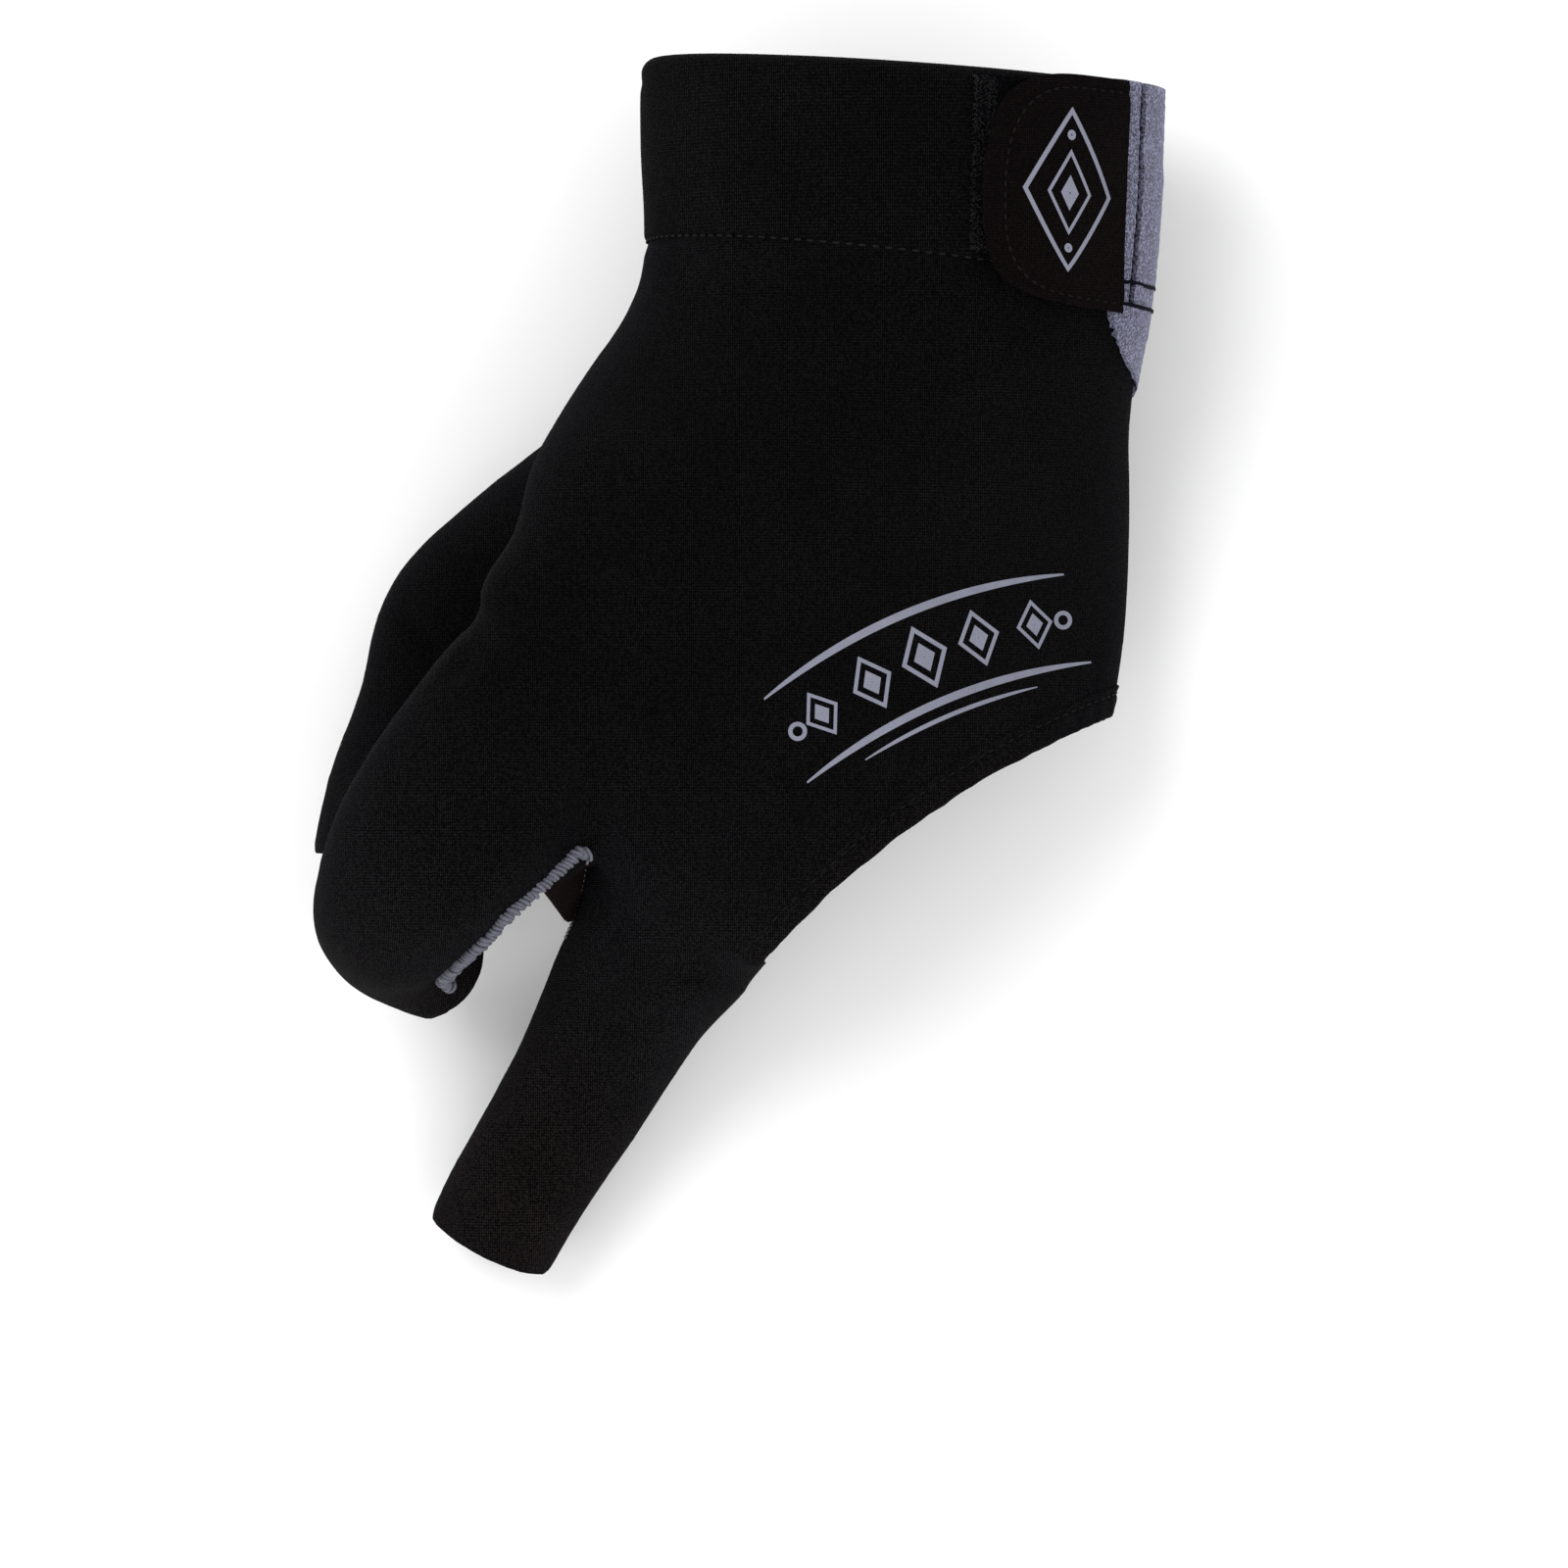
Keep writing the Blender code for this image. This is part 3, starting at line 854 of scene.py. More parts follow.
class GLOVE_OT_closure_tab(bpy.types.Operator):
    """Builds the rounded tab that closes the cuff, with its stitched border and print"""

    bl_idname = "glove.closure_tab"
    bl_label = "Closure Tab"

    def execute(self, context):
        sizes = context.scene.glove_sizes
        bm = patch_form(TAB, 44, 52, TAB_LIFT, TAB_THICKNESS, 0.00055, tab_narrowing, tab_relief)
        add_piece("tab_fabric", bm, tab_fabric(), "closure_tab")

        places = [tab_outline(0.02 + 0.96 * i / 160, TAB_STITCH_INSET) for i in range(161)]
        border = [tab_spot(u, v, 0.00002) for u, v in places]

        def along_border(share):
            spot = path_at([point for point, _ in border], share)
            return spot, min(border, key=lambda pair: (pair[0] - spot).length)[1]

        bm = bmesh.new()
        sew(bm, along_border, TAB_BORDER_LENGTH, sizes.stitch_length, 0.0011, sizes.thread_diameter * 0.45)
        add_piece("tab_stitches", bm, sewing_thread("tab_thread"))

        bm = bmesh.new()
        add_tab_print(bm)
        add_piece("tab_print", bm, print_film(context))
        return {"FINISHED"}


class GLOVE_OT_loop_patch(bpy.types.Operator):
    """Builds the strip of fastening tape that shows beside the tab, with its loops"""

    bl_idname = "glove.loop_patch"
    bl_label = "Loop Tape"

    def execute(self, context):
        bm = patch_form(LOOP_TAPE, 60, 40, TRIM_GAP, LOOP_PATCH_THICKNESS, 0.0003)
        weave = brushed("tape_weave", (0.0022, 0.0022, 0.0026), 0.00025, 0.01)
        add_piece("loop_tape", bm, weave, "loop_patch")

        chance = random.Random(SEED)
        bm = bmesh.new()
        for _ in range(TAPE_LOOPS):
            degrees = LOOP_TAPE.end_angle + chance.uniform(-4.4, 0.5)
            row = chance.uniform(0.09, 0.88)
            base, out = wrist_spot(row, degrees, TRIM_GAP + LOOP_PATCH_THICKNESS * 0.7)
            lean = Vector([chance.uniform(-1, 1) for _ in range(3)])
            across = out.cross(lean).normalized()
            size = chance.uniform(0.00022, 0.00050)
            points = []
            for i in range(6):
                angle = math.pi * (i / 5 * 1.25 - 0.1)
                rise = out * (math.sin(angle) * size) + lean.normalized() * (size * 0.3 * i / 5)
                points.append(base + across * (math.cos(angle) * size * 0.8) + rise)
            add_thread(bm, points, TAPE_THREAD_RADIUS, sides=4)
        add_piece("tape_loops", bm, sewing_thread("loop_thread"))
        return {"FINISHED"}


def strip_sink(row):
    """How far the strips are pressed in, more so towards the bar tacks."""
    low = min(1.0, max(0.0, row - 0.5) / 0.6)
    return 0.0003 + 0.0008 * low * low * (3 - 2 * low)


def suede_ripple(seed, size, patch, sink=None):
    """The uneven face of a brushed strip, as a relief over its (u, v)."""
    width = math.radians(patch.end_angle - patch.start_angle) * WRIST_DEPTH / 2

    def relief(u, v):
        row = patch_place(patch, u, v)[1]
        spot = Vector((u * width, row * CUFF_LENGTH, seed))
        ripple = size * (0.5 * noise.noise(spot * 900.0) + 0.8 * noise.noise(spot * 260.0))
        return ripple - (sink(row) if sink else 0.0)

    return relief


def tail_spot(u, v):
    """A point on the face of the binding's ragged tail, which thins out towards its tip."""
    wavy = 1.5 * noise.noise(Vector((v * 5.0, 3.0, 1.0)))
    ragged = wavy + 0.9 * noise.noise(Vector((v * 13.0, 8.0, 1.0)))
    low = TAIL.start_angle + 24.0 * v**1.5
    high = TAIL.end_angle - 5.0 * v - 20.0 * v**4 + 1.5 * ragged
    row = patch_place(TAIL, u, v)[1]
    lift = 0.0013 - 0.0010 * v + suede_ripple(3.0, 0.00016, TAIL)(u, v)
    return on_hand(row, low + (high - low) * u, lift)


class GLOVE_OT_bindings(bpy.types.Operator):
    """Builds the brushed binding at the side of the cuff: two strips, tacks and a tail"""

    bl_idname = "glove.bindings"
    bl_label = "Side Binding"

    def execute(self, context):
        suede = brushed("binding_suede", tuple(context.scene.glove_colours.suede), 0.00036)
        thickness = BINDING_THICKNESS
        back_face = suede_ripple(1.0, 0.00024, BACK_STRIP, strip_sink)
        bm = patch_form(BACK_STRIP, 12, 100, TRIM_GAP, thickness, 0.0007, relief=back_face)
        add_piece("binding_back", bm, suede, "binding_back_strip")
        palm_face = suede_ripple(2.0, 0.00022, PALM_STRIP, strip_sink)
        bm = patch_form(PALM_STRIP, 44, 100, TRIM_GAP, thickness, 0.0007, relief=palm_face)
        add_piece("binding_palm", bm, suede, "binding_palm_strip")

        bm = bmesh.new()
        bend_grid(bm, 26, 60, tail_spot)
        thicken(bm, TAIL_THICKNESS, 0.00025, 2)
        add_piece("binding_tail_cloth", bm, suede, "binding_tail")

        bm = bmesh.new()
        face = TRIM_GAP + thickness
        for row in BAR_TACK_ROWS:
            points = []
            for i in range(29):
                degrees = 34.6 - 48.0 * i / 28
                sway = 0.012 * noise.noise(Vector((i * 0.7, row * 9.0, 0.0)))
                points.append(on_hand(row + sway, degrees, face - strip_sink(row) - 0.00006))
            add_thread(bm, points, 0.00030)
        gap = (PALM_STRIP.end_angle + BACK_STRIP.start_angle) / 2
        for i in range(27):
            row = 0.02 + 0.0395 * i
            lift = face - strip_sink(row) - 0.0006
            sway = 0.5 * noise.noise(Vector((i * 0.9, 5.0, 0.0)))
            start = on_hand(row, gap + 0.7 + sway, lift)
            end = on_hand(row + 0.026, gap - 0.7 + sway, lift)
            add_stitch(bm, start, end, wrist_spot(row, gap, face)[1], 0.00042)
        add_piece("binding_seam_threads", bm, sewing_thread("dark_thread"))
        return {"FINISHED"}


# The hem beside the bare fingers


def hem_row(degrees, inset):
    """The row at which the hand's outline lies inset from the hem."""
    low, high = 4.0, float(LAST_ROW)
    for _ in range(22):
        middle = (low + high) / 2
        if before_hem(on_hand(middle, degrees, 0.0)) > inset:
            low = middle
        else:
            high = middle
    return (low + high) / 2


def hem_reach(direction):
    """The angle at which the hem meets the middle sleeve, over the back or the palm."""
    start, along, _, length = hem_frame()
    for degrees in range(0, 176, 2):
        spot = on_hand(hem_row(direction * degrees, 0.0), direction * degrees, 0.0)
        if (spot - start).dot(along) > length * HEM_END_SHARE:
            return direction * float(degrees)
    return direction * 176.0


def hem_profile():
    """The folded hem's cross-section, as distances from its edge and lifts."""
    half = HEM_WALL / 2
    centre = HEM_PROUD - half
    points = []
    for i in range(9):
        angle = math.pi * (0.5 + i / 8)
        points.append((half + half * math.cos(angle), centre + half * math.sin(angle)))
    for i in range(1, 12):
        points.append((half + (HEM_WIDTH - half) * i / 12, centre - half))
    for i in range(5):
        angle = math.pi * (1.5 + i / 4)
        points.append((HEM_WIDTH + 0.0003 * math.cos(angle), centre + half * math.sin(angle)))
    for i in range(1, 13):
        inset = HEM_WIDTH - (HEM_WIDTH - half) * i / 12
        drawn = math.exp(-(((inset - HEM_SEAM) / 0.0005) ** 2))
        points.append((inset, centre + half - 0.00030 * drawn))
    return points


class GLOVE_OT_knuckle_hem(bpy.types.Operator):
    """Builds the folded and stitched hem beside the bare fingers"""

    bl_idname = "glove.knuckle_hem"
    bl_label = "Knuckle Hem"

    def execute(self, context):
        sizes = context.scene.glove_sizes
        first, last = hem_reach(1), hem_reach(-1)
        columns = 150
        angles = [first + (last - first) * i / columns for i in range(columns + 1)]
        edge_rows = [hem_row(degrees, 0.0) for degrees in angles]
        inner_rows = [hem_row(degrees, HEM_WIDTH) for degrees in angles]
        profile = hem_profile()

        def hem_spot(step, inset, lift):
            share = inset / HEM_WIDTH
            row = edge_rows[step] + (inner_rows[step] - edge_rows[step]) * share
            return drape(on_hand(row, angles[step], 0.0), lift)

        def point_at(u, v):
            step = round(u * columns)
            inset, lift = profile[round(v * (len(profile) - 1))]
            swell = 0.00022 * noise.noise(Vector((step * 0.33, inset * 300.0, 2.0)))
            sunk = 0.0013 * max(0.0, 1 - min(step, columns - step) / 5)
            return hem_spot(step, inset, lift + swell - sunk)[0]

        bm = bmesh.new()
        bend_grid(bm, columns, len(profile) - 1, point_at, wrap_rows=True)
        close_holes(bm)
        face_out(bm)
        add_piece("hem_fold", bm, knit_fabric(context), "knuckle_hem")

        lengths = lengths_along([hem_spot(step, 0.0, 0.0)[0] for step in range(columns + 1)])

        def along_hem(share):
            wanted = share * lengths[-1]
            step = min(range(columns + 1), key=lambda i: abs(lengths[i] - wanted))
            low, high = max(step - 1, 0), min(step + 1, columns)
            spot, normal = hem_spot(low, HEM_SEAM, HEM_PROUD - 0.00022)
            other = hem_spot(high, HEM_SEAM, HEM_PROUD - 0.00022)[0]
            span = max(SMALL, lengths[high] - lengths[low])
            return spot + (other - spot) * ((wanted - lengths[low]) / span), normal

        bm = bmesh.new()
        sew(bm, along_hem, lengths[-1], sizes.stitch_length, 0.00105, sizes.thread_diameter * 0.42)
        add_piece("hem_stitches", bm, sewing_thread("hem_thread"))
        return {"FINISHED"}


# The overlocked edge between the fingers


OVERLOCK_SIDE = math.pi - math.radians(14)
# The fork and the fine line below it, as seen from above
OVERLOCK_FORK = [(-0.0442, -0.1081), (-0.0428, -0.1083)]
FINE_LINE = [(-0.0426, -0.1086), (-0.0436, -0.1136), (-0.0451, -0.1184), (-0.0461, -0.1206)]
WRAP_PITCH = 0.00062
# The fine line's stitches: from one to the next, how long each is and its radius
FINE_PITCH = 0.00085
FINE_REACH = 0.00066
FINE_RADIUS = 0.00022
# The inner cloth: how far it runs down the fine line and up the bead, how deep it is
# tucked in and its thickness
CROTCH_SHARE = 0.90
CROTCH_CORNER = 0.80
LINING_DEPTH = 0.0009
LINING_WALL = 0.0006


def lengths_along(points):
    """The length of a path up to each of its points."""
    lengths = [0.0]
    for a, b in zip(points, points[1:]):
        lengths.append(lengths[-1] + (b - a).length)
    return lengths


def path_at(points, share):
    """A point at share of a path's length."""
    lengths = lengths_along(points)
    wanted = min(max(share, 0.0), 1.0) * lengths[-1]
    for i, (low, high) in enumerate(zip(lengths, lengths[1:])):
        if wanted <= high:
            return points[i].lerp(points[i + 1], (wanted - low) / max(high - low, SMALL))
    return points[-1]


def overlock_legs():
    """The beaded leg along the index sleeve and the fine one along the middle sleeve."""
    rings = sleeve_rings(INDEX)[3 * SLEEVE_STEPS : 6 * SLEEVE_STEPS + 1]
    lift = OVERLOCK_DIAMETER * 0.3
    beaded = [drape(ring_point(ring, OVERLOCK_SIDE, 0.0), lift)[0] for ring in reversed(rings)]
    beaded += [drop(*spot, lift) for spot in OVERLOCK_FORK]
    line = [Vector((*spot, 0.0)) for spot in FINE_LINE]
    fine = [drop(*path_at(line, i / 24).xy, FINE_RADIUS) for i in range(25)]
    return beaded, fine


class GLOVE_OT_finger_overlock(bpy.types.Operator):
    """Builds the overlocked thread round the fork between the index and middle sleeves"""

    bl_idname = "glove.finger_overlock"
    bl_label = "Finger Overlock"

    def execute(self, context):
        chance = random.Random(SEED + 1)
        beaded, fine = overlock_legs()
        bm = bmesh.new()
        core = [path_at(beaded, i / 60) for i in range(61)]
        add_thread(bm, core, OVERLOCK_DIAMETER * 0.36, sides=10)
        wraps = round(lengths_along(core)[-1] / WRAP_PITCH)
        for i in range(wraps):
            centre = path_at(beaded, (i + 0.5) / wraps)
            before, after = path_at(beaded, (i - 0.2) / wraps), path_at(beaded, (i + 1.2) / wraps)
            along = (after - before).normalized()
            side = along.cross(UPRIGHT).normalized()
            up = side.cross(along)
            radius = OVERLOCK_DIAMETER * chance.uniform(0.36, 0.50)
            slant = chance.uniform(0.15, 0.75) * radius
            drift = Vector([chance.uniform(-0.00014, 0.00014) for _ in range(3)])
            points = []
            for j in range(13):
                angle = 2 * math.pi * j / 12 + 0.4
                out = side * math.cos(angle) + up * math.sin(angle)
                points.append(centre + drift + out * radius + along * (slant * math.cos(angle)))
            add_thread(bm, points, OVERLOCK_DIAMETER * chance.uniform(0.13, 0.19), sides=6)
        colour = tuple(context.scene.glove_colours.overlock)
        thread = thread_material("overlock_thread", colour, 0.25)
        add_piece("overlock_bead", bm, thread, "finger_overlock")

        def along_fine(share):
            return path_at(fine, share), UPRIGHT

        bm = bmesh.new()
        sew(bm, along_fine, lengths_along(fine)[-1], FINE_PITCH, FINE_REACH, FINE_RADIUS)
        add_piece("overlock_line", bm, sewing_thread("fine_thread"))
        add_crotch(context, beaded, fine)
        return {"FINISHED"}


def add_crotch(context, beaded, fine):
    """Adds the inner cloth that closes the fork between the bead and the fine line."""

    def under_bead(share):
        return drape(path_at(beaded, share), -LINING_DEPTH)[0]

    corner, lowest = under_bead(CROTCH_CORNER), path_at(fine, CROTCH_SHARE)

    def point_at(u, v):
        v = 0.05 + 0.9 * v
        if v < 0.4:
            left = under_bead(1 - (1 - CROTCH_CORNER) * v / 0.4)
        else:
            left = corner.lerp(lowest, (v - 0.4) / 0.6 * 0.97)
        line = path_at(fine, CROTCH_SHARE * v) - Vector((0, 0, 0.0004))
        if u > 0.8:
            return line.lerp(drape(line, -LINING_DEPTH)[0], (u - 0.8) / 0.2)
        sag = 0.0016 * math.sin(math.pi * u / 0.8) * math.sin(math.pi * (0.1 + 0.9 * v))
        return left.lerp(line, u / 0.8) - Vector((-0.3 * sag, 0, sag))

    bm = bmesh.new()
    bend_grid(bm, 20, 24, point_at)
    bm.normal_update()
    add_wall(add_piece("crotch_lining", bm, lining_fabric()), LINING_WALL, 0.0)


# Prints


PRINT_LIFT = 0.00009
PRINT_ORIGIN = Vector((0.0050, -0.0850))
PRINT_SLOPE = 0.40
PRINT_BOW = 0.0035
PRINT_REACH = 0.023
# The arcs of the back print: height above the row of diamonds, half length and width
PRINT_ARCS = ((0.0068, 0.0225, 0.0011), (-0.0062, 0.0215, 0.0011), (-0.0084, 0.0130, 0.0006))
# The diamonds of the tab's print: inner and outer reach, columns and rows of faces
TAB_DIAMONDS = ((0.0059, 0.0066, 88, 3), (0.0027, 0.0032, 64, 2), (0.0001, 0.0013, 32, 4))


def ring_shape(centre, inner, outer, squash=1.0, corners=0, turn=0.0):
    """A ring in the plane, or a ring of straight sides where corners are given."""

    def at(u, v):
        angle = 2 * math.pi * u
        reach = inner + (outer - inner) * v
        if corners:
            sector = 2 * math.pi / corners
            reach *= math.cos(sector / 2) / math.cos((angle % sector) - sector / 2)
        x, y = reach * math.cos(angle), reach * math.sin(angle) * squash
        return (
            centre[0] + x * math.cos(turn) - y * math.sin(turn),
            centre[1] + x * math.sin(turn) + y * math.cos(turn),
        )

    return at


def add_back_print(bm):
    """A row of rail diamonds that rises between arcs, with a plain ring at each end."""
    along = Vector((math.cos(PRINT_SLOPE), math.sin(PRINT_SLOPE)))
    across = Vector((-along.y, along.x))

    def rising(distance, height):
        bow = PRINT_BOW * (1 - (distance / PRINT_REACH) ** 2)
        return PRINT_ORIGIN + along * distance + across * (height + bow)

    def add(shape, columns, rows, wrap=True):
        bend_grid(bm, columns, rows, lambda u, v: drop(*shape(u, v), PRINT_LIFT), wrap_columns=wrap)

    for height, reach, width in PRINT_ARCS:

        def arc(u, v, height=height, reach=reach, width=width):
            thin = width * (1 - 0.75 * abs(2 * u - 1) ** 3)
            return rising((2 * u - 1) * reach, height + (v - 0.5) * thin)

        add(arc, 90, 3, wrap=False)
    for i in range(5):
        distance = -0.0160 + 0.0080 * i
        size = 0.0034 - 0.0004 * abs(i - 2)
        centre = rising(distance, 0.0003)
        turn = PRINT_SLOPE - 2 * PRINT_BOW * distance / PRINT_REACH**2
        add(ring_shape(centre, size * 0.78, size, squash=1.35, corners=4, turn=turn), 64, 3)
        add(ring_shape(centre, size * 0.02, size * 0.46, squash=1.35, corners=4, turn=turn), 32, 5)
    for distance in (-0.0200, 0.0200):
        add(ring_shape(rising(distance, 0.0003), 0.0007, 0.0013), 28, 2)


def add_tab_print(bm):
    """A tall lozenge outline with smaller diamonds and two dots on the tab."""

    def add(shape, columns, rows):
        def spot_at(u, v):
            x, y = shape(u, v)
            return tab_spot(0.47 - x / TAB_WIDTH, 0.47 - y / TAB_HEIGHT, PRINT_LIFT)[0]

        bend_grid(bm, columns, rows, spot_at, wrap_columns=True)

    for inner, outer, columns, rows in TAB_DIAMONDS:
        add(ring_shape((0, 0), inner, outer, squash=1.5, corners=4), columns, rows)
    for height in (-0.0064, 0.0064):
        add(ring_shape((0, height), 0.0001, 0.0006), 20, 3)


class GLOVE_OT_back_print(bpy.types.Operator):
    """Builds the print on the back of the hand"""

    bl_idname = "glove.back_print"
    bl_label = "Back Print"

    def execute(self, context):
        bm = bmesh.new()
        add_back_print(bm)
        add_piece("back_print", bm, print_film(context))
        return {"FINISHED"}


# Materials


def feed(tree, node, inputs):
    """Sets each input of a node to a value, or links it to the socket that feeds it."""
    for name, value in inputs.items():
        if isinstance(value, bpy.types.NodeSocket):
            tree.links.new(value, node.inputs[name])
        else:
            node.inputs[name].default_value = value


def add_node(tree, kind, inputs=None, **settings):
    made = tree.nodes.new(kind)
    for name, value in settings.items():
        setattr(made, name, value)
    feed(tree, made, inputs or {})
    return made


def calculate(tree, operation, *values):
    inputs = dict(enumerate(values))
    return add_node(tree, "ShaderNodeMath", inputs, operation=operation).outputs[0]


def noise_in(tree, position, scale, detail=2.0, roughness=0.5):
    inputs = {"Vector": position, "Scale": scale, "Detail": detail, "Roughness": roughness}
    return add_node(tree, "ShaderNodeTexNoise", inputs).outputs["Fac"]


def bumped(tree, height, strength, distance):
    inputs = {"Height": height, "Strength": strength, "Distance": distance}
    return add_node(tree, "ShaderNodeBump", inputs).outputs["Normal"]


def sharpen(tree, value, gain):
    """Spreads a noise value about its middle, kept between 0 and 1."""
    inputs = {0: value, 1: gain, 2: 0.5 - gain / 2}
    settings = {"operation": "MULTIPLY_ADD", "use_clamp": True}
    return add_node(tree, "ShaderNodeMath", inputs, **settings).outputs[0]


def scaled(colour, factor):
    return tuple(min(1.0, channel * factor) for channel in colour)


def blend_colours(tree, factor, first, second):
    """Mixes two colours, each a value or the socket that feeds it."""
    sides = [
        colour if isinstance(colour, bpy.types.NodeSocket) else (*colour, 1.0)
        for colour in (first, second)
    ]
    inputs = {0: factor, 6: sides[0], 7: sides[1]}
    return add_node(tree, "ShaderNodeMix", inputs, data_type="RGBA").outputs[2]


def made_once(kept):
    """Lets a function build what it names only where bpy.data doesn't hold it yet."""

    def wrap(build):
        def get(name, *rest, **options):
            return getattr(bpy.data, kept).get(name) or build(name, *rest, **options)

        return get

    return wrap


def new_group(name, inputs, outputs):
    """An empty shader group with its sockets, and its two end nodes."""
    group = bpy.data.node_groups.new(name, "ShaderNodeTree")
    for sockets, way in ((inputs, "INPUT"), (outputs, "OUTPUT")):
        for label, kind in sockets.items():
            group.interface.new_socket(label, in_out=way, socket_type="NodeSocket" + kind)
    return group, add_node(group, "NodeGroupInput").outputs, add_node(group, "NodeGroupOutput")


@made_once("node_groups")
def knit_plane_group(name):
    """Height of a plain knit on a flat plane, as columns of V-shaped loops."""
    sockets = {"Across": "Float", "Along": "Float", "Pitch": "Float"}
    group, given, result = new_group(name, sockets, {"Height": "Float"})
    column = calculate(group, "DIVIDE", given["Across"], given["Pitch"])
    row = calculate(group, "DIVIDE", given["Along"], given["Pitch"])
    offset = calculate(group, "SUBTRACT", calculate(group, "FRACT", column), 0.5)
    centred = calculate(group, "ABSOLUTE", offset)
    slant = calculate(group, "MULTIPLY", centred, 1.1)
    leaning = calculate(group, "ADD", calculate(group, "MULTIPLY", row, 1.3), slant)
    loops = calculate(group, "SINE", calculate(group, "MULTIPLY", leaning, 2 * math.pi))
    loops = calculate(group, "MULTIPLY_ADD", loops, 0.5, 0.5)
    turned = calculate(group, "SUBTRACT", centred, 0.25)
    rib = calculate(group, "COSINE", calculate(group, "MULTIPLY", turned, 4 * math.pi))
    rib = calculate(group, "MULTIPLY_ADD", rib, 0.5, 0.5)
    height = calculate(group, "MULTIPLY", calculate(group, "ADD", loops, 0.35), rib)
    feed(group, result, {"Height": height})
    return group


@made_once("node_groups")
def knit_group(name):
    """A plain knit that wraps any surface: the three flat planes blended by direction."""
    sockets = {"Position": "Vector", "Facing": "Vector", "Pitch": "Float"}
    group, given, result = new_group(name, sockets, {"Height": "Float", "Worn": "Float"})
    at = add_node(group, "ShaderNodeSeparateXYZ", {0: given["Position"]}).outputs
    facing = add_node(group, "ShaderNodeSeparateXYZ", {0: given["Facing"]}).outputs
    total = mixed = None
    for axis, (across, along) in zip("XYZ", ("YZ", "XZ", "XY")):
        weight = calculate(group, "POWER", calculate(group, "ABSOLUTE", facing[axis]), 5.0)
        inputs = {"Across": at[across], "Along": at[along], "Pitch": given["Pitch"]}
        plane = add_node(group, "ShaderNodeGroup", node_tree=knit_plane_group("knit_plane"))
        feed(group, plane, inputs)
        share = calculate(group, "MULTIPLY", plane.outputs["Height"], weight)
        total = weight if total is None else calculate(group, "ADD", total, weight)
        mixed = share if mixed is None else calculate(group, "ADD", mixed, share)
    worn = noise_in(group, given["Position"], 60.0, 4.0, 0.6)
    feed(group, result, {"Height": calculate(group, "DIVIDE", mixed, total), "Worn": worn})
    return group


def new_material(name):
    """An empty node material: its tree, its shader and its coordinates."""
    material = bpy.data.materials.new(name)
    material.use_nodes = True
    tree = material.node_tree
    return material, tree, tree.nodes["Principled BSDF"], add_node(tree, "ShaderNodeTexCoord").outputs


def add_knit(tree, coordinates, pitch):
    knit = add_node(tree, "ShaderNodeGroup", node_tree=knit_group("knit"))
    inputs = {"Position": coordinates["Object"], "Facing": coordinates["Normal"], "Pitch": pitch}
    feed(tree, knit, inputs)
    return knit.outputs


# The fabric is pulled thinner and paler from the knuckles to the fingers, and its painted loop highlights
# grow the same way: partly the paler pulled fabric, partly painted light that falls on the fingers
PULL_LIGHT_START = -0.085
PULL_LIGHT_END = -0.130
WARM_TINT = (1.28, 1.0, 0.86)


@made_once("materials")
def knitted(name, colour, pitch, sheen, loop_highlight=44.0, roughness=0.8):
    """A knitted fabric with a soft sheen. Its loops and flecks are painted brighter than colour by the
    highlight gain passed in: painted highlights on the loop crests and fibres, painted shade in the gaps
    between loops.
    """
    material, tree, shader, coordinates = new_material(name)
    place_in = coordinates["Object"]
    knit = add_knit(tree, coordinates, pitch)
    # painted glints: specks of painted highlight on the yarn's fibres, which the bump also raises
    fleck_and_glint = sharpen(tree, noise_in(tree, place_in, 2600.0), 4.0)
    loops = calculate(tree, "MULTIPLY", knit["Height"], 0.95)
    # painted light and shade: the loop crests are painted light and the gaps between loops painted dark
    painted_loop_light = calculate(tree, "MULTIPLY", loops, calculate(tree, "ADD", fleck_and_glint, 0.35))
    painted_loop_light = calculate(tree, "POWER", painted_loop_light, 1.3)
    painted_loop_light = calculate(tree, "MULTIPLY", painted_loop_light, sharpen(tree, knit["Worn"], 0.6))
    # painted light: the loops' painted highlights and their warm tint grow from the knuckles to the
    # fingers, partly for the paler pulled fabric there
    along = add_node(tree, "ShaderNodeSeparateXYZ", {0: place_in}).outputs["Y"]
    inputs = {0: along, 1: PULL_LIGHT_START, 2: PULL_LIGHT_END, 3: 0.62, 4: 1.25}
    pull_and_light = add_node(tree, "ShaderNodeMapRange", inputs).outputs[0]
    painted_loop_light = calculate(tree, "MULTIPLY", painted_loop_light, pull_and_light)
    warmth = calculate(tree, "MULTIPLY", sharpen(tree, noise_in(tree, place_in, 22.0), 2.4), pull_and_light)
    # the painted highlight colour of the loops, tinted warm in places
    cool = scaled(colour, loop_highlight)
    warm = tuple(channel * tint for channel, tint in zip(cool, WARM_TINT))
    bright = blend_colours(tree, warmth, cool, warm)
    height = calculate(tree, "ADD", knit["Height"], calculate(tree, "MULTIPLY", fleck_and_glint, 0.6))
    weight, tint, spread = sheen
    feed(tree, shader, {
        "Base Color": blend_colours(tree, painted_loop_light, colour, bright),
        "Roughness": calculate(tree, "MULTIPLY_ADD", knit["Worn"], 0.16, roughness - 0.08),
        "Normal": bumped(tree, height, 0.8, 0.00025),
        "Sheen Weight": weight,
        "Sheen Tint": (*tint, 1.0),
        "Sheen Roughness": spread,
        "Specular IOR Level": 0.015,
    })
    return material


